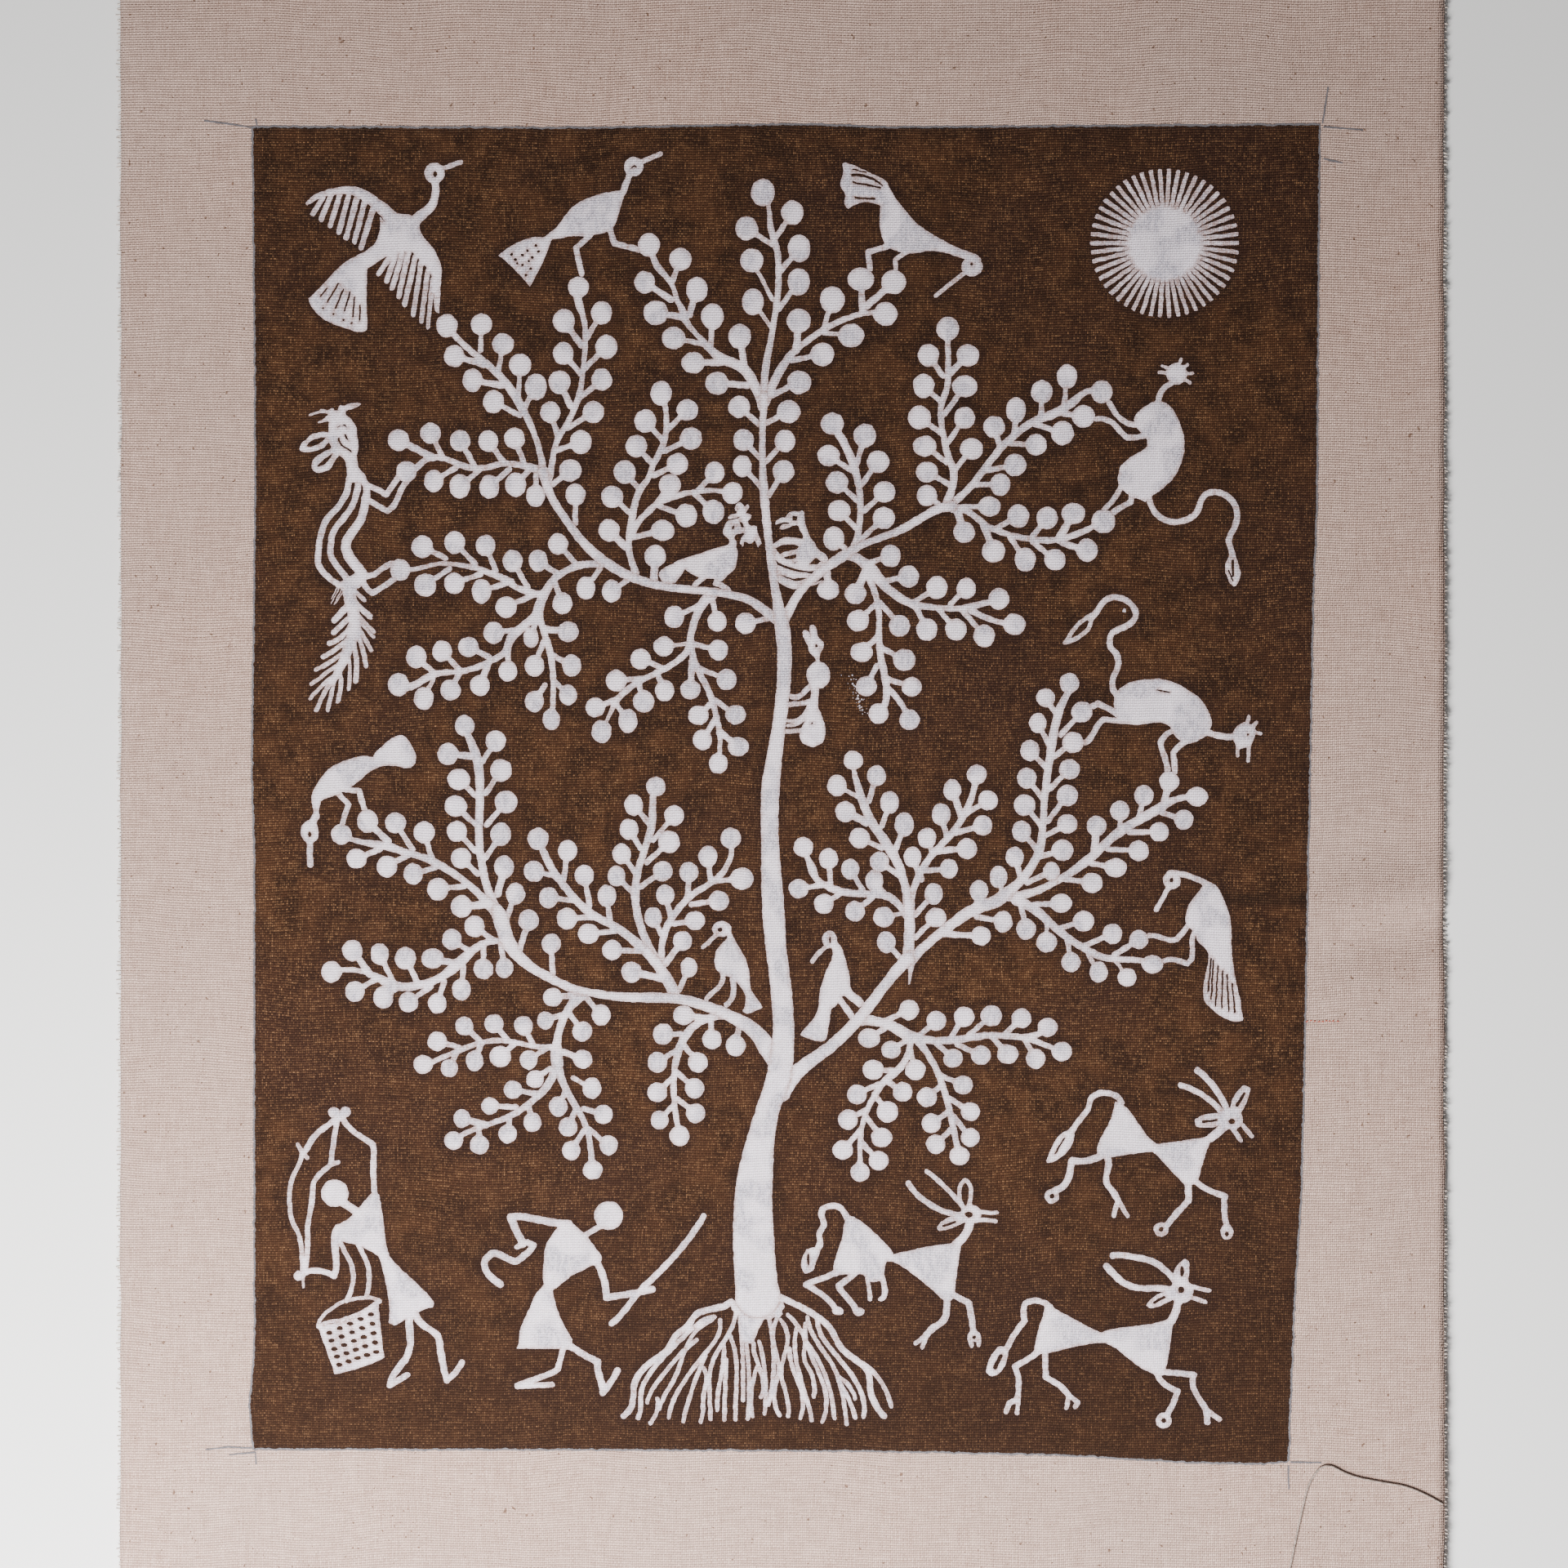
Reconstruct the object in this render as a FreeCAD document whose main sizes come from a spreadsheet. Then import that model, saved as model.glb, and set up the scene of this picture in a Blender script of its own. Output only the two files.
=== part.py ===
import FreeCAD, Part
import math
import os
import Sketcher
from FreeCAD import Placement, Rotation, Vector

# A folk painting of a tree of life: white figures on a brown earth panel,
# painted on unbleached cotton cloth that lies flat. All lengths are millimetres.
# The middle of the cloth's underside is the origin, +X is the painting's right,
# +Y its top, and +Z points out of the painted face.

doc = FreeCAD.newDocument("tree_of_life")

# ---------------------------------------------------------------- sizes
dims = doc.addObject("Spreadsheet::Sheet", "dims")
SIZES = [
    ("cloth_width", 252.0),        # left edge to right edge
    ("cloth_height", 304.8),       # bottom edge to top edge
    ("cloth_thickness", 0.5),      # heavy plain-weave cotton
    ("earth_thickness", 0.08),     # brown earth wash soaked into the weave
    ("paint_thickness", 0.14),     # white rice-paste paint
    ("thread_diameter", 0.45),     # one loose warp thread
    ("sun_center_x", 72.8),
    ("sun_center_y", 103.0),
    ("sun_disc_radius", 7.0),
    ("sun_ray_reach", 14.2),       # ray tips, from the sun's center
    ("sun_ray_width", 0.8),
    ("sun_ray_count", 50),
    ("basket_slot_width", 1.35),
    ("basket_slot_height", 0.85),
]
for row, (alias, value) in enumerate(SIZES, start=1):
    dims.set("A%d" % row, alias)
    dims.set("B%d" % row, str(value))
    dims.setAlias("B%d" % row, alias)
doc.recompute()

PAINT = dims.paint_thickness
EARTH_TOP = dims.cloth_thickness + dims.earth_thickness
LEAST_AREA = 0.3                   # mm2; smaller scraps of paint are left out
LEAST_HOLE = 0.06                  # mm2; smaller gaps close up
SHARP = math.radians(42)           # a turn above this is a corner


# ---------------------------------------------------------------- outlines
def turn(before, here, after):
    """Angle between the direction into a point and the direction out of it."""
    return (here - before).getAngle(after - here)


def curve(points):
    """One edge through the points: straight for two, smooth for more."""
    if len(points) == 2:
        return Part.LineSegment(points[0], points[1]).toShape()
    spline = Part.BSplineCurve()
    spline.interpolate(points)
    return spline.toShape()


def shape(*corners):
    """A closed outline: smooth runs that meet at its sharp corners."""
    ring = [Vector(x, y, 0) for x, y in corners]
    count = len(ring)
    sharp = [i for i in range(count)
             if turn(ring[i - 1], ring[i], ring[(i + 1) % count]) > SHARP]
    if len(sharp) < 2:
        sharp = [0, count // 2]
    edges = []
    for start, stop in zip(sharp, sharp[1:] + [sharp[0] + count]):
        edges.append(curve([ring[i % count] for i in range(start, stop + 1)]))
    face = Part.Face(Part.Wire(edges))
    if not face.isValid() or face.Area < 0.01:
        face = Part.Face(Part.makePolygon(ring + [ring[0]]))
    return [face]


def stroke(*path):
    """A brush stroke along (x, y, width) points, with round ends."""
    middle = [Vector(x, y, 0) for x, y, width in path]
    for i in range(1, len(path) - 1):
        if turn(middle[i - 1], middle[i], middle[i + 1]) > SHARP:
            return stroke(*path[:i + 1]) + stroke(*path[i:])
    left = []
    right = []
    for i, (x, y, width) in enumerate(path):
        along = middle[min(i + 1, len(path) - 1)] - middle[max(i - 1, 0)]
        along.normalize()
        offset = Vector(-along.y, along.x, 0) * (width / 2)
        left.append(middle[i] + offset)
        right.append(middle[i] - offset)
    first = (middle[0] - middle[1]).normalize() * (path[0][2] / 2)
    last = (middle[-1] - middle[-2]).normalize() * (path[-1][2] / 2)
    edges = [
        curve(left),
        Part.Arc(left[-1], middle[-1] + last, right[-1]).toShape(),
        curve(right[::-1]),
        Part.Arc(right[0], middle[0] + first, left[0]).toShape(),
    ]
    face = Part.Face(Part.Wire(edges))
    if len(path) > 2 and not face.isValid():
        half = len(path) // 2
        return stroke(*path[:half + 1]) + stroke(*path[half:])
    return [face]


def line(width, *points):
    """A brush stroke of one width."""
    return stroke(*[(x, y, width) for x, y in points])


def taper(*path):
    """A brush stroke whose width changes."""
    return stroke(*path)


def spot(x, y, width, height):
    """An oval dab of paint."""
    middle = Vector(x, y, 0)
    side = Vector(x + width / 2, y, 0)
    top = Vector(x, y + height / 2, 0)
    if abs(width - height) < 0.01:
        edge = Part.Circle(middle, Vector(0, 0, 1), width / 2).toShape()
    elif width > height:
        edge = Part.Ellipse(side, top, middle).toShape()
    else:
        edge = Part.Ellipse(top, side, middle).toShape()
    return [Part.Face(Part.Wire(edge))]


# ---------------------------------------------------------------- painted films
finished = []                      # flat outlines of the films made so far


def joined(faces):
    """The faces as one flat outline, made from the edges that only one face has."""
    if len(faces) == 1:
        return faces[0]
    whole = faces[0].multiFuse(faces[1:])
    uses = {}
    for face in whole.Faces:
        for edge in face.Edges:
            uses.setdefault(edge.hashCode(), []).append(edge)
    rim = [found[0] for found in uses.values() if len(found) == 1]
    loops = [Part.Wire(chain) for chain in Part.sortEdges(rim)]
    kept = [loop for loop in loops if Part.Face(loop).Area > LEAST_HOLE]
    return Part.makeFace(kept, "Part::FaceMakerBullseye")


def near(flat, others):
    """Faces of the earlier paint that this outline touches."""
    found = []
    for other in others:
        if not flat.BoundBox.intersect(other.BoundBox):
            continue
        for face in other.Faces:
            if flat.BoundBox.intersect(face.BoundBox) and flat.distToShape(face)[0] < 1e-6:
                found.append(face)
    return found


def film(name, marks, gaps=()):
    """Paint of one element: its marks joined, less its gaps and earlier paint."""
    faces = [face for mark in marks for face in mark]
    flat = joined(faces)
    for cutter in [face for gap in gaps for face in gap] + near(flat, finished):
        less = flat.cut(cutter)
        if less.isValid() and less.Area > 0.2 * flat.Area:
            flat = less
        else:
            print("%s: a cut did not work" % name)
    kept = [face for face in flat.Faces if face.Area > LEAST_AREA]
    finished.append(Part.makeCompound(kept))
    solids = [face.extrude(Vector(0, 0, PAINT)) for face in kept]
    part = doc.addObject("Part::Feature", name)
    part.Label = name
    part.Shape = Part.makeCompound(solids) if len(solids) > 1 else solids[0]
    part.Placement = Placement(Vector(0, 0, EARTH_TOP), Rotation())
    return part


def spray(name, twigs, tips, leaves):
    """A twig with leaves: each leaf is (x, y, stem x, stem y, width, height, stem width)."""
    marks = list(twigs)
    for tip in tips:
        marks.append(spot(*tip))
    for leaf in leaves:
        x, y, foot_x, foot_y, width, height = leaf[:6]
        stem = leaf[6] if len(leaf) > 6 else 1.0
        marks.append(spot(x, y, width, height))
        marks.append(stroke((x, y, 0.9 * stem), (foot_x, foot_y, 1.1 * stem)))
    return film(name, marks)


# ---------------------------------------------------------------- cloth and earth panel
def body_sketch(body, name):
    """A sketch on the body's own XY plane."""
    sketch = body.newObject("Sketcher::SketchObject", name)
    plane = [f for f in body.Origin.OriginFeatures if f.Role == "XY_Plane"][0]
    sketch.AttachmentSupport = [(plane, "")]
    sketch.MapMode = "FlatFace"
    return sketch


def polygon(sketch, corners):
    """A closed loop of straight lines through the corners."""
    count = len(corners)
    for i in range(count):
        start = Vector(corners[i][0], corners[i][1], 0)
        stop = Vector(corners[(i + 1) % count][0], corners[(i + 1) % count][1], 0)
        sketch.addGeometry(Part.LineSegment(start, stop), False)
    for i in range(count):
        sketch.addConstraint(Sketcher.Constraint("Coincident", i, 2, (i + 1) % count, 1))


def size(sketch, kind, first, second, alias, expression):
    """A named dimension between two points, bound to the sheet."""
    value = float(sketch.evalExpression(expression))
    index = sketch.addConstraint(Sketcher.Constraint(kind, *first, *second, value))
    sketch.renameConstraint(index, alias)
    sketch.setExpression("Constraints." + alias, expression)


def pad(body, sketch, name, expression):
    feature = body.newObject("PartDesign::Pad", name)
    feature.Profile = sketch
    feature.setExpression("Length", expression)
    return feature


half_width = dims.cloth_width / 2
half_height = dims.cloth_height / 2
cloth = doc.addObject("PartDesign::Body", "cotton_cloth")
cloth.Label = "cotton_cloth"
cloth_outline = body_sketch(cloth, "cloth_outline")
polygon(cloth_outline, [(-half_width, -half_height), (half_width, -half_height),
                        (half_width, half_height), (-half_width, half_height)])
for edge in (0, 2):
    cloth_outline.addConstraint(Sketcher.Constraint("Horizontal", edge))
for edge in (1, 3):
    cloth_outline.addConstraint(Sketcher.Constraint("Vertical", edge))
cloth_outline.addConstraint(Sketcher.Constraint("Symmetric", 0, 1, 1, 2, -1, 1))
size(cloth_outline, "DistanceX", (0, 1), (0, 2), "width", "dims.cloth_width")
size(cloth_outline, "DistanceY", (1, 1), (1, 2), "height", "dims.cloth_height")
pad(cloth, cloth_outline, "cloth_pad", "dims.cloth_thickness")
cloth.Placement = Placement(Vector(0, 0, 0), Rotation())

# The earth wash stops short of the cloth's edges, with hand-brushed sides.
EARTH_CORNERS = [
    (-100.9, 125.2), (-38, 124.9), (4, 125.7), (20, 125.1), (102.4, 125.7), (101.8, 52.2), (101.1, 35.2),
    (99.3, -56.6), (98.8, -79), (97.4, -100.8), (96.4, -129), (90.8, -129.5), (77.2, -129.2),
    (52, -127.8), (16, -127.1), (-100.8, -126.6), (-101.5, -117.8), (-100.5, -107.6), (-100.6, -12.4),
    (-101.1, 1.2), (-100.4, 60)]
earth = doc.addObject("PartDesign::Body", "earth_ground")
earth.Label = "earth_ground"
earth_outline = body_sketch(earth, "earth_outline")
polygon(earth_outline, EARTH_CORNERS)
pad(earth, earth_outline, "earth_pad", "dims.earth_thickness")
earth.Placement = Placement(Vector(0, 0, 0), Rotation())
earth.setExpression("Placement.Base.z", "dims.cloth_thickness")

# ---------------------------------------------------------------- trunk, roots, boughs
film("trunk", marks=[
    taper(
        (-3.5, 74, 1.6), (-3.8, 65.8, 1.2), (-3.7, 59, 1.4), (-3.5, 55.6, 1.7), (-3.2, 52.2, 1.6),
        (-1.6, 38.6, 1.6), (-1, 35.2, 1.8), (-0.4, 31.8, 2.6), (0.1, 29, 2.8), (0.2, 18.2, 2.6),
        (-1.3, 6.6, 2.8), (-2.2, -0.1, 3.4), (-2.4, -9, 3.3), (-1.7, -24.3, 4.2), (-1.2, -31.1, 3.9),
        (-0.2, -39.6, 4), (0.2, -48, 4.1), (-0.4, -54, 4.6), (-1.2, -57.5, 4.6), (-2.2, -60.3, 4.4),
        (-4.6, -70.5, 5.9), (-5.4, -77, 7), (-5.6, -83.1, 7.5), (-5.3, -90.6, 8), (-5, -94.7, 8.1),
        (-4.7, -97.4, 8.6)),
])

film("lower_left_bough", marks=[
    taper(
        (-1.2, -51.5, 5), (-3, -49.9, 3.6), (-5.3, -47, 2.9), (-8, -45.2, 2.5), (-10.9, -43.7, 2.1),
        (-14.5, -42.3, 2), (-18.5, -41.1, 1.9), (-22.5, -40.7, 1.9), (-32, -40.4, 1.6), (-36, -39.8, 1.5),
        (-40, -38.9, 1.6), (-43.5, -37.3, 1.7), (-49.8, -33.2, 2.2), (-51.6, -31, 2.6), (-53, -28, 2.8),
        (-53.6, -25.5, 2.8), (-54.3, -23.8, 2)),
])

film("lower_right_bough", marks=[
    taper(
        (-0.5, -58, 5), (2.2, -55.3, 3.2), (5, -53, 2.5), (8.8, -50.3, 2.3), (12.2, -47.2, 2.2),
        (14.6, -44.6, 2.2), (19.8, -37.9, 2), (23.9, -33.2, 2.6)),
])

film("upper_left_bough", marks=[
    taper(
        (-0.9, 31.4, 2.4), (-3.4, 33, 1.8), (-6.1, 34.9, 1.6), (-9.2, 35.9, 1.5), (-11.9, 36.4, 1.5),
        (-24.8, 38.1, 1.6), (-34, 42.5, 1.9), (-37.7, 45.8, 1.7), (-41.1, 50.2, 1.5), (-44.4, 55.6, 1.6),
        (-45.5, 59.7, 1.9)),
])

film("upper_right_bough", marks=[
    taper(
        (-0.2, 30.6, 2.4), (1, 32.6, 1.9), (3.4, 36.6, 1.6), (9.5, 42, 1.9), (11.6, 43.4, 2),
        (13.6, 44.7, 1.6), (22.8, 48.5, 1.5), (30.6, 52.6, 1.8), (32.3, 52.9, 2)),
])

film("roots",
    marks=[
        shape((-9.9, -98.4), (-5.2, -98.2), (-0.5, -97.2), (0.5, -99.5), (-1.5, -101.5), (-3.5, -102),
              (-4.6, -104), (-5.5, -106.6), (-7.5, -106.5), (-8.2, -103.5), (-8.4, -100.8), (-9.7, -100.2)),
        line(1.2, (-9.7, -98.6), (-14.6, -100.3), (-16.7, -101.3), (-17.7, -102.8), (-20.4, -105.2),
             (-21.8, -107.6), (-24.8, -110), (-27.2, -112.3), (-28.2, -114.4), (-28.4, -116.8),
             (-30.3, -120.4)),
        line(0.9, (-12.9, -101.5), (-16, -102.8), (-18.7, -105.2), (-25.5, -112.7), (-26.9, -115.7),
             (-27, -118.4), (-27.5, -120.8)),
        line(0.8, (-16.3, -105.9), (-19.4, -108.6), (-23.1, -113), (-24.8, -115.4), (-25.8, -117.8)),
        line(0.8, (-13.3, -102.1), (-19.4, -110.3), (-20.4, -113), (-21.8, -115.4), (-23.4, -119)),
        line(0.8, (-11.9, -102.1), (-12.2, -104.9), (-14, -107.6), (-19.7, -115.4), (-20.9, -117.8),
             (-21.6, -120.7)),
        line(0.8, (-8.8, -99.4), (-10.7, -105.5), (-13.6, -111), (-13.9, -113.7), (-13.7, -121.1)),
        line(0.8, (-14.6, -108.9), (-17, -114.7), (-18.9, -121.5)),
        line(0.8, (-15, -111.3), (-14.5, -113.7), (-15.1, -116.8), (-15.1, -119.1), (-15.6, -121.5)),
        line(0.8, (-11.2, -106.6), (-11.2, -109.6), (-12.2, -115.7), (-12.4, -119.3)),
        line(0.8, (-10.7, -109.6), (-11.1, -121.2)),
        line(0.8, (-9.9, -105.2), (-9, -108.3), (-8.7, -111.7), (-8.9, -121.1)),
        line(0.8, (-8.2, -100.1), (-7.5, -111), (-7.5, -117.4)),
        line(0.8, (-6.8, -106.9), (-6.5, -110.3), (-6.6, -121)),
        line(0.8, (-4.8, -111), (-5.6, -113.7), (-5.7, -120.5)),
        line(0.8, (-5.5, -106.6), (-5, -109.6), (-3.8, -113), (-4.1, -116.9)),
        line(0.8, (-4.4, -106.2), (-3.2, -113.7), (-3.4, -120)),
        line(0.8, (-2.6, -101.5), (-1.7, -108.3), (-2.6, -118.3)),
        line(0.8, (-0.4, -100.8), (-1.4, -107.6), (-0.7, -111.3), (-1.4, -115), (-1.4, -118.1),
             (-0.5, -120.3)),
        line(0.8, (-0.3, -102.1), (1, -105.9), (-0.2, -112.7), (0.7, -116.1), (1.1, -120.5)),
        line(0.8, (1.4, -107.6), (1.9, -111), (2.9, -113.7), (3.4, -120.8)),
        line(0.8, (2.7, -103.8), (2.4, -107.6), (3.8, -114.4), (5.6, -121.2)),
        line(0.8, (1, -101.1), (3.1, -103.5), (4.3, -106.2), (4.1, -109.3), (5.4, -112), (6, -114),
             (6, -116.8)),
        line(0.8, (4.4, -102.8), (4.6, -106.2), (7, -112.3), (7.6, -121.5)),
        line(0.8, (4.9, -106.6), (6.8, -109.6), (8.2, -112.7), (9.2, -116.1), (9.9, -120.8)),
        line(0.8, (4.8, -101.5), (5.8, -104.9), (9.5, -110.6), (11.6, -117.1), (12.2, -122)),
        line(0.8, (10.7, -113.7), (12.6, -117.1), (13.9, -120.8)),
        line(0.8, (10.9, -113), (12.9, -115), (13.9, -117.1)),
        line(0.9, (6.8, -101.5), (7.2, -104.5), (8.9, -107.2), (13.3, -112.7), (14.8, -115.4),
             (15.5, -120.5)),
        line(1.2, (-1, -97.4), (7.5, -102.1), (9.5, -104.2), (10.7, -106.6), (11.9, -108.1),
             (13.9, -109.6), (16.3, -112), (16.7, -115), (17.7, -118.1), (19.4, -120.4)),
        line(0.9, (13.9, -109.6), (17, -111.7), (20.7, -118.6)),
        line(0.8, (-23.8, -117.1), (-24.1, -120.1), (-25.2, -121.8)),
    ])

# ---------------------------------------------------------------- leafy sprays
spray("treetop_leader",
    twigs=[
        stroke((-3.7, 112.6, 0.9), (-2.4, 108, 1), (-2.2, 105.9, 1.2), (-1.4, 103.2, 1.2),
        (-0.7, 97.8, 1.2), (-1, 92.3, 1.2), (-1.9, 86.2, 1.1), (-3.4, 77.1, 1.4), (-3.5, 74.4, 1.3)),
    ],
    tips=[(-3.7, 112.6, 4.6, 5.2)],
    leaves=[
        (-6.8, 105.8, -1.9, 102.7, 4.3, 4.6), (1.9, 108.8, -1, 104.4, 4.3, 4.7),
        (-5.8, 99.7, -1.9, 92.3, 4.5, 4.6, 0.8), (3.2, 102, -0.5, 97.5, 4.3, 5.3),
        (-5.6, 91.8, -2.1, 86.9, 4.2, 5.1, 0.8), (3.1, 95.6, -0.6, 90.5, 4.2, 5.2),
        (-8.2, 71.8, -4.4, 68.4, 4.2, 4.2), (1.2, 70.9, -3.1, 68.7, 4.5, 4.5),
        (-7.4, 65.5, -4.3, 62.1, 4, 4.2), (0.5, 65.3, -3.1, 61.4, 3.9, 4.3),
        (-7.6, 60.5, -4.1, 56.6, 3.6, 4.2), (0.2, 59.5, -2.6, 54.9, 4.1, 4.4),
        (-7, 30.6, -2.7, 31.5, 3.9, 4.1),
    ])

spray("top_left_spray",
    twigs=[
        stroke((-25.4, 102.6, 1.2), (-24.6, 100.2, 1.2), (-23.5, 98.1, 1.4), (-21.9, 96.4, 1.1),
        (-20.7, 94.4, 0.9), (-20.1, 92.3, 1), (-19, 90, 1.3), (-18.4, 88.3, 1.3), (-17.3, 86.6, 1),
        (-15.6, 84.9, 1), (-14.3, 83.3, 1.3), (-12.2, 81.5, 1.7), (-10.2, 80.4, 2), (-8.2, 79.6, 1.9),
        (-6.8, 78.4, 2), (-5.5, 76.4, 1.9), (-4.4, 74, 1.8), (-3.9, 71.5, 1.4)),
    ],
    tips=[(-25.4, 102.6, 4.2, 4.6)],
    leaves=[
        (-19.4, 99.9, -20.9, 95.7, 4.3, 4.4), (-26.2, 95.5, -21.2, 92.2, 3.9, 4.3, 1.2),
        (-16.3, 94.1, -17.7, 89.3, 4.1, 4.8, 1.2), (-24.1, 89.7, -19, 88.9, 4.7, 4.7, 1.2),
        (-13.3, 89, -13.6, 83.2, 4.4, 5), (-20.7, 84.9, -15.3, 83.8, 4.5, 4.3),
        (-8.1, 85.2, -7.2, 79.4, 4.3, 4.7, 1.2), (-17, 80.2, -11.6, 80.3, 4.4, 4.1, 1.3),
        (-12.4, 76.3, -6.5, 75.9, 4.5, 4.4, 1.2),
    ])

spray("top_right_spray",
    twigs=[
        stroke((19.6, 89.5, 0.9), (15, 89.5, 1), (12.6, 88.8, 1.1), (7.2, 86.1, 1.2), (4.8, 84.4, 1.2),
        (2.4, 82.5, 1.3), (0.7, 80.5, 1.5), (-3.4, 72, 1.3)),
    ],
    tips=[(19.6, 89.5, 4.6, 4.5)],
    leaves=[
        (14.9, 96.1, 15.3, 90, 5.1, 4.5, 1.2), (21.2, 95.6, 16, 91, 4.8, 4.6, 1.3),
        (9.5, 92.2, 8, 87.2, 4.7, 5.1, 0.9), (3.1, 88.2, 2.6, 82.5, 4.6, 4.6, 1.3),
        (13.1, 85.4, 8, 85.9, 5, 4.5, 0.8), (7.6, 81.8, 1.7, 80.6, 4.5, 4.5),
        (3.2, 76.5, -2.5, 73.8, 4.6, 4.5, 1.1),
    ])

spray("outer_upper_left_spray",
    twigs=[
        stroke((-63.9, 87.3, 1.2), (-62.6, 85.6, 1.2), (-55.8, 79.6, 1.3), (-52.7, 76.4, 1.5),
        (-51, 74, 1.6), (-48.3, 69.2, 1.3), (-45.6, 60, 1.6)),
    ],
    tips=[(-63.9, 87.3, 4.1, 4.5)],
    leaves=[
        (-57.3, 87.5, -57.5, 82.5, 4.1, 4.1, 0.9), (-53.2, 83.8, -54.1, 78.4, 4.2, 4.1, 0.9),
        (-62.5, 81.5, -56.8, 79.9, 3.9, 4.2, 1.2), (-59, 76.9, -53.4, 75.9, 3.8, 4.5, 1.2),
        (-49.9, 79.8, -50.3, 73.5, 4.3, 4.3, 0.9), (-46.9, 75.6, -49.4, 71.2, 4.2, 5.1),
        (-55, 72.8, -50, 70.2, 4, 4.4),
    ])

spray("inner_upper_left_spray",
    twigs=[
        stroke((-38.8, 94.6, 1.6), (-38.9, 92.5, 1.6), (-37.7, 87.9, 1), (-37.5, 85.5, 1),
        (-37.8, 80.1, 0.9), (-38.9, 73.3, 1.1), (-41.5, 67.8, 1.1), (-42.7, 65.8, 1.1),
        (-43.5, 63.1, 1.1), (-44.7, 57, 1.3)),
    ],
    tips=[(-38.8, 94.6, 4.1, 4)],
    leaves=[
        (-34.4, 89.7, -37.2, 85, 4, 4.5), (-41.6, 88.2, -38.2, 83.5, 4.2, 4.6, 1.2),
        (-41.7, 82, -38.4, 78.1, 3.9, 4.3), (-33.5, 83.2, -37.7, 79.1, 4.2, 4.6),
        (-34.4, 77, -38.6, 73.5, 3.9, 4.3), (-42.4, 76.5, -40.3, 71.9, 4.2, 4.5, 1.2),
        (-44.2, 70.8, -42.7, 66.1, 3.9, 4.1), (-36, 70.8, -40.8, 67.8, 4.1, 4.2),
        (-38.4, 65.1, -42.8, 63.6, 4.1, 4.6), (-40.4, 59.7, -43.8, 57, 4.3, 4.3),
        (-39.4, 55.1, -39.4, 49.7, 3.9, 4.2),
    ])

spray("left_upper_spray",
    twigs=[
        stroke((-71.6, 59.5, 1.2), (-70, 60, 1.2), (-68.4, 61.4, 1.2), (-66.3, 62.2, 1.2),
        (-60.5, 60.5, 1.2), (-55.8, 60.4, 1.1), (-53.4, 61, 1.1), (-52, 61, 1.1), (-46.9, 60, 1.6),
        (-45.5, 59.5, 1.8)),
    ],
    tips=[(-71.6, 59.5, 3.9, 4.1)],
    leaves=[
        (-73.1, 65.5, -66.6, 62.2, 4.1, 4.1, 1.4), (-67, 66.8, -64.6, 62.1, 4, 4),
        (-61.4, 65.4, -58.8, 60.9, 3.9, 4.1), (-56, 65.3, -53.1, 61.4, 3.8, 4.1),
        (-51, 65.8, -49.3, 61.4, 4, 4.1), (-66.4, 57.7, -62.2, 60.2, 3.7, 4.3),
        (-61.4, 56.7, -57.8, 59.7, 4, 4.6), (-55.8, 56.6, -52, 59.9, 3.8, 4.5),
        (-50.8, 57, -48.3, 59.7, 4, 4.6), (-47, 54.9, -46.9, 59, 3.6, 4.3),
    ])

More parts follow.
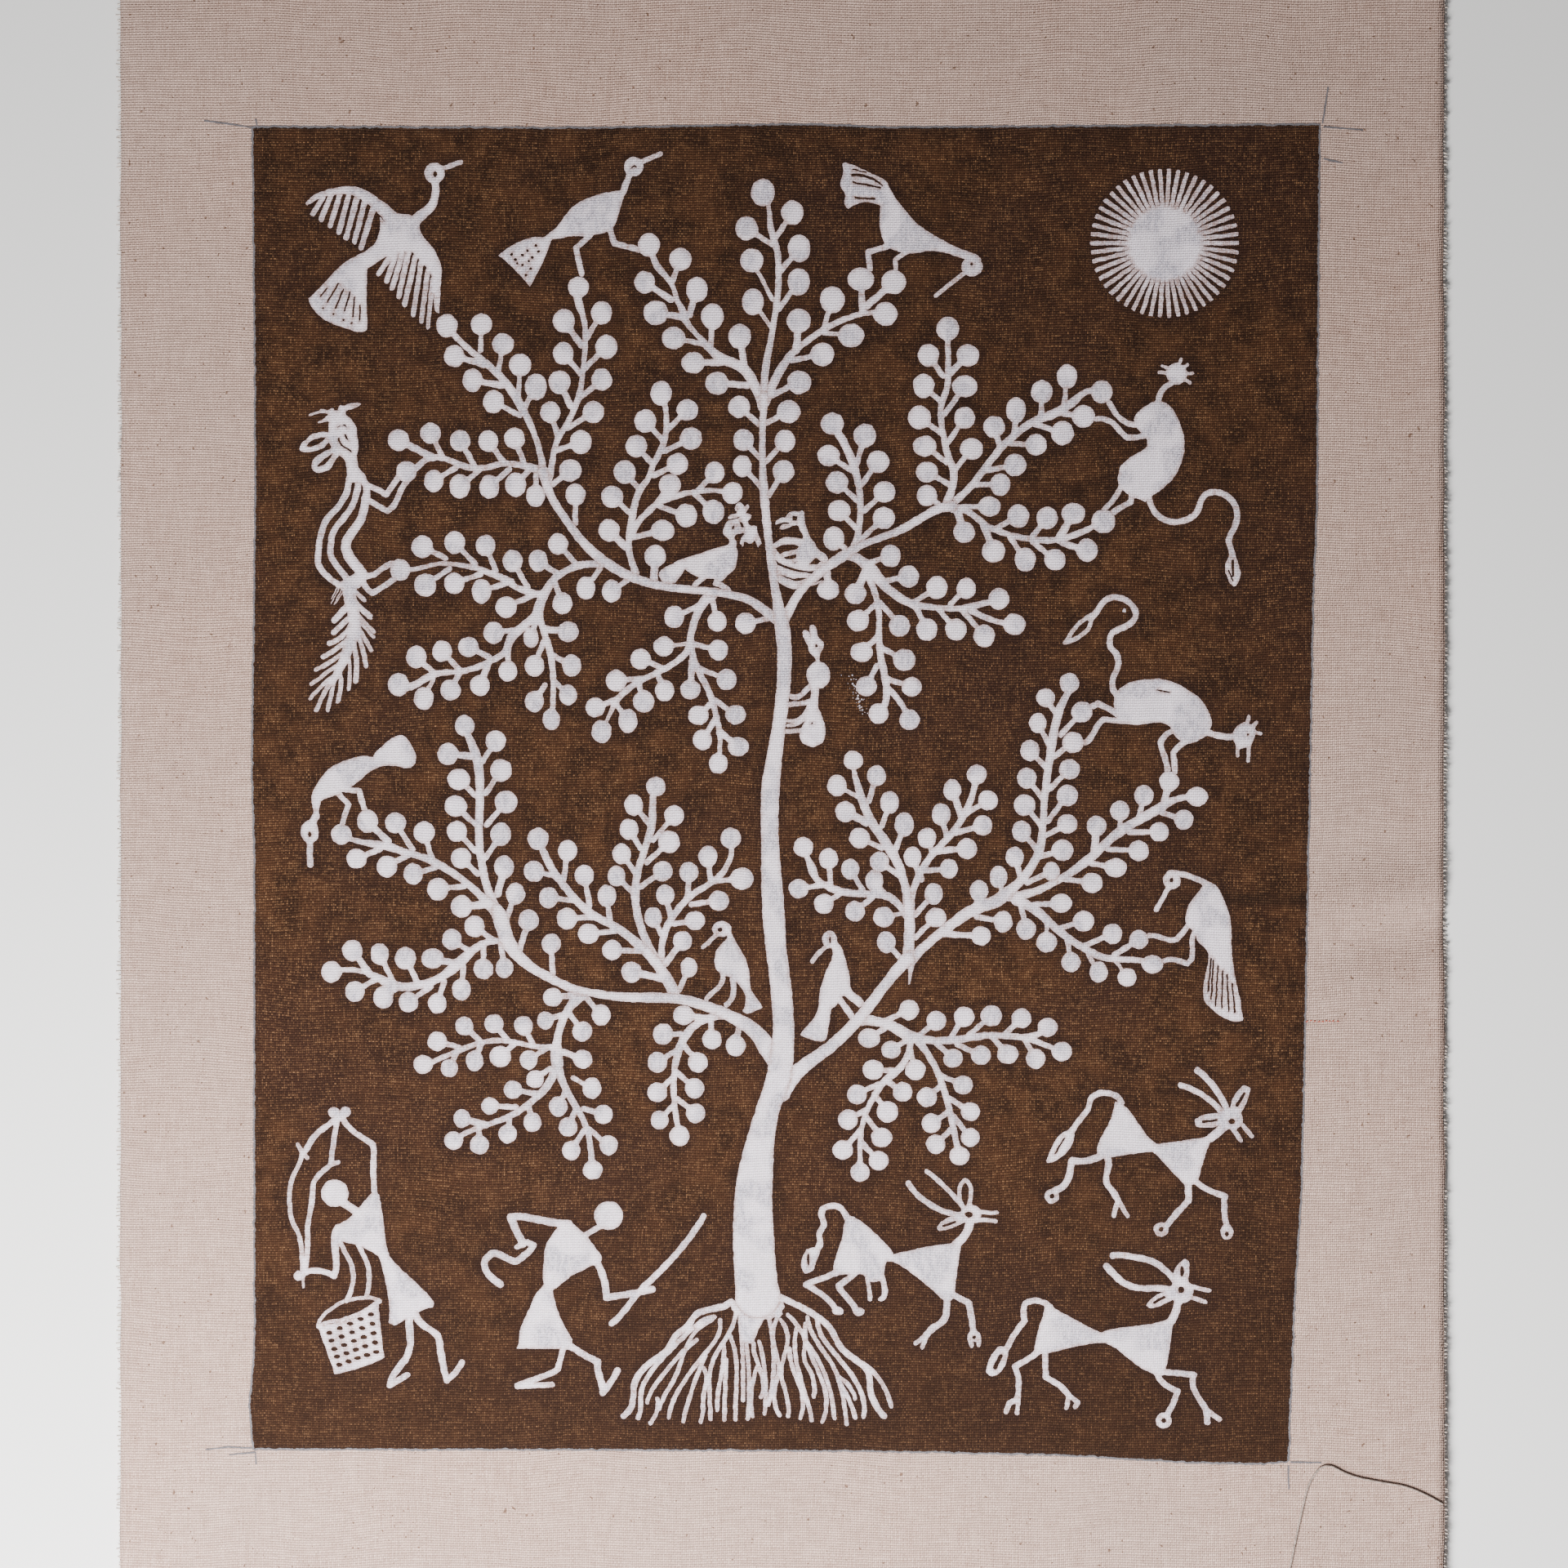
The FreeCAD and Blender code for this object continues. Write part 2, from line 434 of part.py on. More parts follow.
spray("left_middle_sprays",
    twigs=[
        stroke((-33.7, 42, 1.6), (-36, 41.9, 1.3), (-38.4, 41.7, 1.4), (-40.8, 40.8, 1.3),
        (-42.8, 39.6, 1.4), (-45.2, 36.4, 1.7), (-46.2, 34.2, 1.9), (-46.6, 32.5, 1.9)),
        stroke((-72.8, 40.8, 0.9), (-70.9, 40.8, 0.9), (-65.6, 41.9, 0.8), (-62.9, 41.9, 0.8),
        (-60.2, 41.5, 1), (-57.8, 41, 1.1), (-55.8, 40.2, 1.1), (-52, 38.5, 1.4), (-50.5, 37.4, 1.2),
        (-48.9, 36.8, 1.2), (-46.9, 36.2, 1.4), (-45.4, 36.3, 1.5)),
        stroke((-73.1, 18.9, 1.5), (-71.4, 18.5, 1.5), (-66.6, 20.8, 1.3), (-61.9, 21.4, 1),
        (-59.2, 21.9, 1.1), (-54.1, 24.2, 1.2), (-52.6, 25.5, 1.3), (-52, 27.1, 1.6), (-50, 29.5, 1.7),
        (-47.9, 31.2, 1.6), (-46.6, 32.8, 1.8)),
        stroke((-44, 12.3, 1.1), (-43.8, 22.3, 1.2), (-44.2, 25, 1.3), (-46, 30.8, 1.3), (-46.4, 33, 1.7)),
    ],
    tips=[(-72.8, 40.8, 3.8, 4.1), (-73.1, 18.9, 4.1, 4.4), (-44, 12.3, 3.3, 4.1)],
    leaves=[
        (-68.6, 45.2, -64.1, 43, 4.1, 4.3), (-62.4, 46, -58.5, 41.9, 3.9, 4.4),
        (-56.5, 45.4, -54.6, 40.7, 3.8, 4.1), (-51.4, 42.5, -48.6, 37.6, 3.8, 4.2),
        (-68, 37.9, -63.4, 41, 4.2, 4.4), (-62.5, 38.2, -57.5, 40, 3.9, 4.1),
        (-57.3, 36.7, -51.5, 38.6, 3.7, 4.7), (-52.6, 33.7, -47.5, 36, 4.1, 4.1),
        (-46.5, 42.5, -42.8, 40, 3.6, 4.2), (-42.7, 45.7, -39.1, 41.7, 3.8, 4.1),
        (-37.4, 37.3, -34.7, 41, 3.6, 4.4), (-32.5, 36.7, -28.6, 39.5, 3.7, 4.3),
        (-41.9, 34.4, -43.3, 38.3, 3.8, 4.2), (-69.7, 24.2, -66.5, 21.3, 3.9, 4.3),
        (-64.8, 25.3, -61.6, 21.9, 3.7, 4.1), (-59.8, 26.1, -55.9, 24.2, 3.9, 3.9),
        (-68.3, 16.3, -66.5, 19.9, 3.8, 4.4, 0.8), (-63.2, 17.9, -61.4, 21.3, 3.9, 4),
        (-57.6, 18.8, -56.1, 22.6, 3.8, 4, 1.2), (-52.3, 21.5, -52.2, 26.5, 3.6, 4),
        (-55, 28.8, -49.5, 29.5, 3.8, 4.3), (-47.2, 22.5, -45.5, 27.1, 3.7, 4.2),
        (-40.1, 22.6, -43.5, 24.4, 3.6, 4.2), (-47.2, 15.7, -45.2, 18.9, 3.6, 4.1),
        (-40.8, 17, -43.5, 19.6, 3.4, 3.9), (-40.8, 29, -45.2, 29.5, 4, 3.9, 1.3),
        (-47.9, 27.9, -47, 31, 2.9, 3.9),
    ])

spray("center_left_spray",
    twigs=[
        stroke((-23.1, 74.4, 1), (-22.4, 72.3, 1), (-22.1, 70.2, 1), (-22.1, 67.5, 1.1),
        (-23.5, 62.8, 1.2), (-24.6, 60.7, 1.1), (-25.5, 58.3, 1.1), (-26.9, 56.3, 1.2), (-28, 53.6, 1.3),
        (-28.7, 50.2, 1.3), (-29.2, 44.7, 1.2), (-28.6, 42, 1.2), (-27.9, 40.2, 1.4)),
        stroke((-9.5, 55.4, 0.9), (-15.3, 55.8, 0.9), (-18, 55.4, 1), (-21.4, 54.4, 1.1),
        (-23.8, 53.4, 1.2), (-25.5, 51.9, 1.2), (-27.5, 49.8, 1.2), (-28.4, 48.1, 1.4)),
    ],
    tips=[(-23.1, 74.4, 4.1, 4.7), (-9.5, 55.4, 3.9, 4.2)],
    leaves=[
        (-18.1, 71.2, -21.6, 67.7, 4.2, 4.1), (-26.1, 69.1, -22.8, 65.5, 4.1, 4.5),
        (-17.4, 65.8, -22.4, 63.4, 4.2, 4.3), (-27.8, 64.3, -24.8, 61, 4.1, 4.3),
        (-20, 60.9, -24.6, 58.7, 4.1, 4.2), (-30, 59.4, -27.4, 56.3, 4.2, 4.5),
        (-32.4, 54.7, -28.6, 51.2, 4.2, 4.3), (-33, 48.3, -29.9, 45.2, 4, 4.3, 1.4),
        (-22.8, 48.3, -28.2, 47, 4.5, 4, 1.1), (-24.2, 43.4, -24.5, 38.3, 4.1, 4.3, 1.4),
        (-21.4, 56.9, -23.5, 53.6, 4.2, 4.2, 1.4), (-12.9, 59.3, -16.3, 55.6, 3.8, 4.2),
        (-13.1, 51.8, -16.7, 55.3, 4.1, 4.6), (-18.3, 51.1, -23.5, 52.9, 4.1, 4.5),
    ])

spray("inner_left_hanging_spray",
    twigs=[
        stroke((-13.2, 35.9, 1.8), (-14.8, 34.9, 1.8), (-16, 32.8, 1.5), (-17, 30.1, 1.4),
        (-17.5, 27.4, 1.3), (-17.2, 25, 1.3), (-15.3, 20.2, 1.2), (-14.1, 17.9, 1.2), (-12.6, 13.1, 1.1),
        (-12.1, 10.7, 1), (-11.9, 8, 0.9), (-12.2, 3.9, 0.9)),
        stroke((-17.7, 26.2, 1.2), (-18.4, 25, 1.2), (-21.4, 22.5, 1.2), (-28.2, 18.9, 1.1),
        (-31.3, 16.2, 1.2), (-32.3, 14.5, 0.9), (-34.4, 10, 0.9)),
        stroke((-31.3, 16.2, 1.1), (-35.6, 14.6, 1)),
    ],
    tips=[(-12.2, 3.9, 3.6, 3.9), (-34.4, 10, 3.8, 4.4), (-35.6, 14.6, 3.7, 3.8)],
    leaves=[
        (-12.4, 30.9, -13.3, 34.9, 3.7, 3.9), (-20.6, 31.8, -16, 33.9, 3.8, 4.2),
        (-22.6, 26.2, -18.3, 26.7, 3.9, 3.8, 0.7), (-12.2, 25.5, -16.9, 26.6, 3.7, 4),
        (-10.6, 19.9, -15.5, 21.9, 3.8, 4), (-17.5, 18, -17.2, 23.3, 3.8, 3.8, 1.2),
        (-16, 13.1, -13.6, 15.3, 3.9, 3.7), (-8.9, 13.2, -12.9, 16, 3.9, 3.7),
        (-15.2, 8.4, -12.8, 12.3, 3.7, 3.9), (-8.4, 7.1, -11.9, 9.9, 4, 3.7, 1.2),
        (-27, 23.8, -22.8, 22.1, 3.9, 4), (-31.6, 19.7, -26.9, 20.1, 4, 4.1),
        (-22.4, 17.8, -24, 21.3, 3.7, 4.1), (-26.4, 15.7, -27.5, 19.4, 4, 4.3),
        (-29.4, 12, -31.6, 15.1, 3.6, 4.6),
    ])

spray("right_upright_spray",
    twigs=[
        stroke((9.5, 68.6, 1.3), (13.3, 61.4, 1.5), (14.5, 57, 1.3), (14.8, 54.3, 1.2), (14.6, 48.8, 1.2),
        (14, 46.1, 1.3), (13.3, 44.4, 1.5)),
    ],
    tips=[(9.5, 68.6, 4.4, 4.2)],
    leaves=[
        (15.7, 66.3, 14.2, 61.1, 4.3, 4.6), (8.8, 62.5, 13.1, 59.7, 4.3, 4.1),
        (18.2, 61.3, 15.1, 57, 4.3, 4.3), (10.4, 57.4, 14.3, 53.9, 4.3, 4.2),
        (19.4, 55.6, 15.6, 52, 4.2, 4.2), (10.8, 52, 13.9, 48.8, 4.3, 4.1),
        (19.3, 50.6, 15, 46.6, 4.3, 4.2), (9.8, 46.7, 12.6, 44.2, 4.1, 4.6),
    ])

spray("right_drooping_sprays",
    twigs=[
        stroke((41.2, 35.2, 1), (39.4, 34.6, 1), (37, 34, 1.3), (34.7, 33.5, 1.2), (27.9, 33.7, 1.2),
        (24.8, 34.2, 1.5), (22.8, 35.2, 1.6), (18.7, 38.6, 1.9), (17.5, 40.3, 2.1), (16, 41.7, 2),
        (14.3, 42.9, 1.8), (12.2, 43.5, 1.8)),
        stroke((44.1, 30.4, 1), (41.5, 30.8, 1), (36, 33, 1.3)),
        stroke((16.7, 39.3, 1.6), (17.3, 37.3, 1.2), (18, 34.9, 1.1), (18.4, 32.2, 1.1),
        (18.4, 26.7, 1.2), (19.6, 19.9, 1.4), (19.3, 14.8, 1.3), (18.3, 13.4, 1.3)),
        stroke((20.1, 18.2, 1.2), (23.3, 14.1, 1.1), (24.2, 12.2, 1.1)),
    ],
    tips=[(41.2, 35.2, 3.9, 4.2), (44.1, 30.4, 4.3, 4.1), (18.3, 13.4, 3.8, 3.9), (24.2, 12.2, 3.9, 3.9)],
    leaves=[
        (20.6, 43.4, 16, 42, 3.9, 4.3), (24, 39.5, 19.4, 38.6, 4, 4.3),
        (8.7, 37, 8.5, 41.3, 4.2, 3.8, 1.4), (13.9, 36.2, 15.8, 40.3, 4.1, 4, 1.5),
        (29.4, 37.4, 25.2, 34.7, 4.1, 4.4), (35, 37.2, 32, 34.2, 3.7, 4),
        (27.5, 29.4, 25.5, 33.5, 4, 4.3), (33, 29.4, 29.6, 33.4, 4.1, 4.2),
        (38.4, 28.2, 34.3, 33, 4.1, 4.4), (14.4, 31.1, 17.7, 34.2, 4.3, 4.1),
        (22.3, 30.1, 18.7, 34.4, 4, 4.1), (15.1, 25.1, 17.9, 27.8, 4.3, 3.8),
        (23.2, 23.6, 18.9, 25.9, 4.3, 4.2), (16, 18.6, 18, 22.5, 4, 3.8),
        (24.6, 18.5, 20.2, 19.9, 3.8, 3.7),
    ])

spray("far_right_upright_spray",
    twigs=[
        stroke((31.5, 86.7, 1), (31.6, 79.4, 1.1), (30.9, 74, 1.2), (30.4, 72.6, 1.2), (30.4, 67.8, 1.1),
        (31.6, 62.4, 1.3), (32.5, 59.7, 1.4), (32.5, 57, 1.4), (31.6, 54.3, 1.6), (31.4, 52.9, 1.8)),
    ],
    tips=[(31.5, 86.7, 4.3, 4.6)],
    leaves=[
        (27.8, 81.6, 30.6, 77.7, 4.1, 4.4), (35.3, 81.6, 31.8, 78.1, 4.4, 4.3, 1.2),
        (26.9, 75.8, 30.1, 72.8, 4.1, 4.7), (34.7, 75.7, 30.9, 70.4, 4.8, 4.2),
        (26.1, 69.8, 30.6, 66.5, 4.4, 4.5), (34.7, 69.7, 31.6, 65.1, 4, 4.2),
        (27.1, 64.3, 31.3, 61.2, 4.5, 4), (36, 63.8, 33, 60, 4.4, 4.2), (27.5, 59.4, 31.8, 57, 4.3, 4),
        (27.5, 54.9, 30.6, 52.6, 3.9, 4.1),
    ])

spray("right_slanting_spray",
    twigs=[
        stroke((60.8, 74.7, 1.2), (58.5, 74.9, 1.2), (56.8, 74, 1.2), (55.4, 72.8, 1.6),
        (54.1, 71.9, 1.6), (51, 70.2, 1.7), (48.6, 69.4, 1.5), (46.2, 68, 1.4), (43.8, 66.1, 1.4),
        (41.5, 63.8, 1.4), (36.4, 57.3, 1.3), (32.5, 53.6, 1.6)),
        stroke((53.4, 70.6, 1.2), (57.3, 70, 1)),
    ],
    tips=[(60.8, 74.7, 4.1, 4.4), (57.3, 70, 4.4, 4.3)],
    leaves=[
        (40.3, 68, 41.5, 64.1, 4.1, 4.2), (44.5, 71.2, 44.2, 66.5, 3.8, 4.9),
        (48.3, 64.6, 43.5, 64.8, 4.1, 4.1), (44.3, 60.7, 39.1, 59.7, 4.3, 4.3),
        (41.5, 57, 36.4, 57, 3.9, 4.3), (49.4, 74.7, 49.3, 69.9, 4.1, 4.4),
        (53.3, 66.8, 48.3, 68.5, 4.4, 4.6), (54.2, 77.6, 53.7, 72.5, 3.9, 4.6, 0.9),
    ])

spray("right_middle_spray",
    twigs=[
        stroke((61.1, 50, 1.1), (58.8, 48.8, 1.1), (52, 46.5, 1.2), (47.2, 46.6, 1.1), (42.1, 47.8, 1.1),
        (38.4, 49.5, 1.2), (34.7, 52.2, 1.3), (32.5, 52.4, 1.6)),
        stroke((58, 44.5, 1.3), (56.3, 44.9, 1.3), (52.3, 46.4, 1.1)),
    ],
    tips=[(61.1, 50, 4.6, 4.5), (58, 44.5, 4.1, 4.4)],
    leaves=[
        (39.4, 52.8, 34.3, 52.7, 4.3, 3.8), (34.6, 47.9, 33.3, 52.2, 4.1, 4.1, 1.4),
        (44.9, 51, 40.4, 48.5, 4.2, 4.5), (40.2, 44.3, 38.4, 49.2, 4.4, 4.4, 1.4),
        (46.2, 42.7, 43.3, 47.1, 4, 4.6), (50.4, 50.6, 47.6, 47.1, 4.1, 4.3),
        (51.9, 42.7, 47.6, 46.1, 4.1, 4.1), (55.4, 51.5, 52.9, 47.2, 4.5, 4.1, 1.4),
    ])

spray("lower_left_low_spray",
    twigs=[
        stroke((-84, -9.6, 0.9), (-82.1, -10.5, 0.9), (-74.8, -12, 1.5), (-72.1, -12.9, 1.3),
        (-67.3, -14.4, 1.4), (-65.3, -15.4, 1.5), (-63.3, -16.6, 1.4), (-58.8, -20, 1.4),
        (-56.8, -21.9, 1.6), (-54.8, -23.9, 2.2), (-53.6, -26, 2.8)),
    ],
    tips=[(-84, -9.6, 4, 3.9)],
    leaves=[
        (-79, -7.1, -75.1, -10.9, 4, 4.4, 1.2), (-73.7, -7.4, -70.4, -12.5, 4, 4),
        (-68.2, -9.2, -66.8, -14.1, 4, 4.2), (-81.1, -14.2, -76.7, -12.4, 3.9, 3.8, 1.1),
        (-75.3, -15.7, -71.1, -13.4, 3.9, 4.1, 1.1), (-70.3, -17.1, -66, -15.9, 3.7, 4.1),
        (-65.6, -20, -60.5, -19.5, 4.1, 4.4), (-61.1, -23.3, -55.8, -22.9, 4.1, 4.3, 1.4),
    ])

spray("lower_left_upright_spray",
    twigs=[
        stroke((-60.5, 11.1, 1.2), (-59.9, 9.4, 1.2), (-58.5, 6, 1.7), (-57.7, 1.9, 1.7),
        (-57.7, -11, 1.5), (-57.1, -15.8, 1.5), (-56.5, -18.5, 1.5), (-53, -26.2, 2.2)),
    ],
    tips=[(-60.5, 11.1, 3.8, 4)],
    leaves=[
        (-54.6, 8.2, -57.1, 4.3, 3.9, 4.1), (-63.7, 5.7, -59.2, 5.3, 4, 4.2, 1.3),
        (-53.6, 2.6, -56.5, -1.8, 4.1, 4.4), (-61.6, 0.9, -58.5, -2.2, 4.4, 4),
        (-52.6, -3.4, -56.3, -7.8, 4.4, 4.3), (-62.2, -4.2, -58.5, -7.6, 4.3, 4.1),
        (-62, -9, -58.5, -12.7, 3.9, 4), (-53.6, -9.6, -56.5, -14.1, 4, 4.4),
        (-61.2, -14.1, -58, -17.1, 3.9, 4), (-53, -15.8, -54.2, -21, 3.7, 4.5, 1.3),
        (-50.8, -20.9, -52.4, -25.3, 3.6, 4.2), (-48.3, -25.9, -50, -31.5, 3.9, 4.2, 1.1),
    ])

spray("lower_left_rising_spray",
    twigs=[
        stroke((-46.5, -10.4, 1.1), (-41.5, -19.5, 1.4), (-39.8, -21.5, 1.4), (-37.7, -23.6, 1.5),
        (-35.4, -25.3, 1.5), (-33, -26.5, 1.5), (-29.6, -28.7, 1.7), (-27.5, -30.4, 1.8),
        (-20.7, -39.5, 2.4)),
    ],
    tips=[(-46.5, -10.4, 4, 4.2)],
    leaves=[
        (-40.9, -12.7, -41.6, -18.1, 3.6, 4.1), (-47.3, -16.6, -43.2, -17.5, 3.9, 4),
        (-37.7, -17.4, -36.7, -23.1, 3.6, 4.1), (-44.5, -21.6, -39.4, -22.2, 3.7, 4.1),
        (-41, -25.6, -36, -25.3, 3.9, 4.2), (-33.4, -21.3, -32.8, -26.3, 3.6, 4.2),
        (-36.9, -28.5, -31.6, -28, 4, 3.9), (-32.4, -31.6, -26.9, -31.8, 3.8, 3.8),
        (-28.7, -35.8, -22.8, -37, 3.9, 4.1, 1.4),
    ])

spray("left_inner_upright_spray",
    twigs=[
        stroke((-24.1, -0.5, 1.2), (-24.6, -2.5, 1.2), (-24.8, -7.3, 1.5), (-25.3, -9.6, 1.4),
        (-27.7, -17.5, 1.4), (-28, -20.2, 1.5), (-27.9, -22.9, 1.5), (-27.4, -25.6, 1.5),
        (-23.1, -35.2, 1.8)),
    ],
    tips=[(-24.1, -0.5, 3.7, 3.8)],
    leaves=[
        (-28.3, -4, -25.3, -7.6, 3.6, 4), (-20.6, -6, -24.6, -10.7, 3.7, 4, 0.9),
        (-29.2, -8.6, -27, -12.2, 3.6, 4), (-21.6, -11, -25.8, -14.9, 4.1, 4.3),
        (-30.6, -13.3, -28, -16.8, 3.5, 4), (-22.8, -16.6, -26.9, -19.5, 3.8, 3.9),
        (-31.6, -17.5, -28.6, -20.5, 3.4, 3.9),
    ])

spray("left_trunkside_spray",
    twigs=[
        stroke((-9.8, -10.3, 1), (-10.2, -14.8, 1), (-11.6, -17.1, 1.1), (-17.7, -21.5, 1.3),
        (-19.7, -23.6, 1.3), (-21.4, -26, 1.3), (-22.5, -28.7, 1.3), (-23, -31.4, 1.3), (-23, -34.2, 1.4)),
    ],
    tips=[(-9.8, -10.3, 3.8, 4)],
    leaves=[
        (-14.2, -13.8, -13.6, -18.5, 3.6, 4.2), (-7.7, -18, -12.9, -18.5, 4.5, 4.1),
        (-17.8, -16.8, -18, -21.9, 3.7, 3.9), (-12.1, -22.2, -17.3, -22.9, 4, 3.8),
        (-22.3, -21.1, -21.2, -25.6, 3.5, 3.9), (-16.6, -26, -20.7, -26.6, 3.8, 3.6),
        (-24.6, -25.4, -23.1, -28.4, 3.3, 3.9), (-19, -29.9, -22.3, -34.2, 3.7, 3.8, 1.2),
        (-17.8, -34.9, -19.6, -39.2, 3.2, 3.8),
    ])

spray("lower_left_level_spray",
    twigs=[
        stroke((-85.9, -35.8, 0.8), (-79.9, -35.7, 1), (-77.9, -36.4, 1.2), (-76.5, -37.2, 1.6),
        (-74.5, -38.1, 1.7), (-72.4, -38.6, 1.6), (-69.7, -38.4, 1.5), (-67, -37.7, 1.5),
        (-64.6, -36.5, 1.6), (-62.6, -35, 2), (-60.2, -32.8, 1.8), (-56.1, -30.1, 1.3),
        (-54.1, -29.9, 1.2), (-52, -30.1, 1.4)),
    ],
    tips=[(-85.9, -35.8, 3.9, 4.1)],
    leaves=[
        (-81.9, -31.7, -78.5, -36.2, 3.9, 4.1, 1.2), (-76.7, -32.4, -74.1, -37.7, 3.5, 4.1),
        (-71.8, -33.2, -69.4, -37.9, 4, 4.3), (-66.6, -33.2, -61.6, -34.3, 4.2, 3.9, 1.3),
        (-62.9, -29.6, -59.2, -32.1, 3.7, 4), (-58.6, -27.1, -54.8, -29.9, 3.9, 4.2),
        (-81.4, -39.5, -77.5, -37.2, 3.7, 4), (-76, -40.6, -73.4, -38.9, 3.8, 4.3),
        (-71.2, -41.5, -67, -38.6, 3.7, 4), (-65.7, -41.8, -64.4, -37.6, 3.5, 3.9),
        (-61.1, -39.1, -60.7, -34.8, 3.6, 4.2), (-56.9, -35.2, -56.9, -30.4, 3.8, 3.9),
        (-52.9, -35, -53.6, -30.4, 3.3, 3.9),
    ])

spray("lower_left_hanging_sprays",
    twigs=[
        stroke((-38.4, -40.4, 1.8), (-39.1, -40.9, 1.9), (-40.8, -43, 1.6), (-42.1, -45.7, 1.4),
        (-42.8, -48.4, 1.5), (-43, -51.1, 2.2), (-42.8, -53.4, 2.2)),
        stroke((-68.4, -53.4, 0.9), (-61.2, -50.6, 1), (-55.4, -48.9, 1), (-52.7, -48.9, 1),
        (-45.9, -50.1, 1), (-43.6, -50, 1.3)),
        stroke((-62.6, -67.9, 0.9), (-61, -66.8, 0.9), (-54.8, -64.4, 1), (-50, -62.2, 1.2),
        (-47.9, -60.6, 1.3), (-45.9, -58.8, 1.4), (-44.4, -56.9, 1.5), (-42.8, -52.8, 2)),
        stroke((-36.1, -73.5, 1), (-36.7, -68.1, 1.1), (-37.2, -65.8, 1.1), (-39.4, -61.3, 1.2),
        (-42.5, -53.9, 1.5)),
    ],
    tips=[(-68.4, -53.4, 3.7, 3.6), (-62.6, -67.9, 3.6, 3.5), (-36.1, -73.5, 3.8, 3.6)],
    leaves=[
        (-44, -30.4, -43.7, -36.2, 3.7, 3.8), (-43.7, -40.6, -39.1, -40.1, 3.7, 3.5, 1.2),
        (-34.5, -44, -37.4, -40.6, 3.6, 4), (-45.1, -45, -42.1, -44, 3.2, 3.4),
        (-38.1, -47.1, -40.4, -43.8, 3.8, 3.9), (-65.7, -49, -61.7, -50.1, 3.7, 3.7),
        (-60.6, -46.1, -57.3, -49.1, 3.5, 3.6), (-54.9, -45.6, -52.4, -48.6, 3.6, 3.6),
        (-49.3, -46, -47.6, -49.4, 3.6, 3.8), (-63.4, -54.1, -61.7, -50.5, 3.4, 3.4),
        (-58.6, -52.7, -57.3, -49.4, 3.4, 4), (-53.7, -51.9, -51, -49.4, 4.1, 4),
        (-48.3, -52.5, -44.9, -50.3, 3.4, 3.7), (-61, -63.7, -56.5, -64.9, 3.3, 3.5, 1.3),
        (-55.7, -61.3, -50.7, -61.5, 3.3, 3.3), (-51.3, -58.2, -46.2, -59.1, 3.5, 3.5),
        (-47.1, -56.2, -44.4, -54.2, 3.4, 3.5), (-57.7, -68.7, -57.8, -65.4, 3.7, 3.6),
        (-52.3, -66.6, -52, -63.5, 3.5, 3.7), (-47.6, -64.4, -48.4, -61, 3.5, 3.7),
        (-38, -52.4, -41.6, -51.1, 3.6, 3.6, 1.2), (-36.3, -57.9, -39.9, -55.9, 3.5, 4.1, 0.8),
        (-42.7, -61.4, -41.1, -58.3, 3.5, 3.9), (-34.1, -62.9, -37.9, -61.8, 3.6, 3.7),
        (-40.8, -65.3, -39.3, -62, 3.5, 3.7), (-40.2, -69.8, -37.9, -66.1, 3.4, 3.7),
        (-33.1, -68.8, -36.7, -65.8, 3.5, 3.8),
    ])

spray("left_drooping_spray",
    twigs=[
        stroke((-9.5, -44.4, 1.8), (-11.2, -44, 1.6), (-14, -44.6, 1.4), (-16.3, -45.7, 1.5),
        (-19.4, -49.8, 1.5), (-20.2, -52.5, 1.3), (-20.6, -55.2, 1.2), (-19.6, -67, 0.9)),
    ],
    tips=[(-19.6, -67, 3.8, 3.9)],
    leaves=[
        (-18.8, -44, -13.6, -44.7, 4, 3.7, 1.3), (-22.7, -47.6, -18, -47.6, 3.8, 4.1),
        (-23.8, -53, -19.9, -50.6, 3.7, 4), (-16.1, -53, -18.7, -49.8, 3.8, 3.9),
        (-13.4, -48.6, -13.6, -45, 3.7, 3.8), (-8.9, -49.8, -8.2, -46, 3.8, 4.1),
        (-23.8, -58.7, -20.6, -55.6, 3.8, 3.8), (-16.7, -57.9, -20.1, -54.9, 3.7, 3.9),
        (-23.4, -64, -20.6, -61, 3.4, 3.6), (-16.5, -62.7, -19.9, -60, 3.7, 3.8),
    ])

spray("right_inner_upright_spray",
    twigs=[
        stroke((13.5, 4.5, 0.9), (13.6, 2.6, 0.9), (14.3, -0.1, 1.2), (16.2, -5.6, 1.7),
        (17.7, -8.3, 1.7), (21.1, -13.4, 1.8), (22.4, -16.1, 1.6), (23.3, -19.2, 1.6), (24.2, -26, 2),
        (24.1, -29.4, 2), (23.9, -34, 2.4)),
        stroke((24.6, -34.2, 1.2), (24.1, -38.1, 0.3)),
    ],
    tips=[(13.5, 4.5, 3.7, 3.7)],
    leaves=[
        (10.4, -0.3, 14.3, -2.4, 3.7, 4.1, 0.8), (17.9, 1.6, 16.5, -3.2, 3.6, 4),
        (12, -5.3, 16, -7.3, 3.9, 4, 1.4), (20.4, -3.5, 19, -8, 3.6, 4.3),
        (14.7, -10.3, 19, -12.2, 3.9, 3.9), (23.2, -7.7, 21.6, -12.4, 3.7, 4.7),
        (18.5, -14.8, 22.4, -17.5, 3.7, 3.9), (19.8, -30.1, 22.8, -33.5, 3.5, 4.2),
    ])

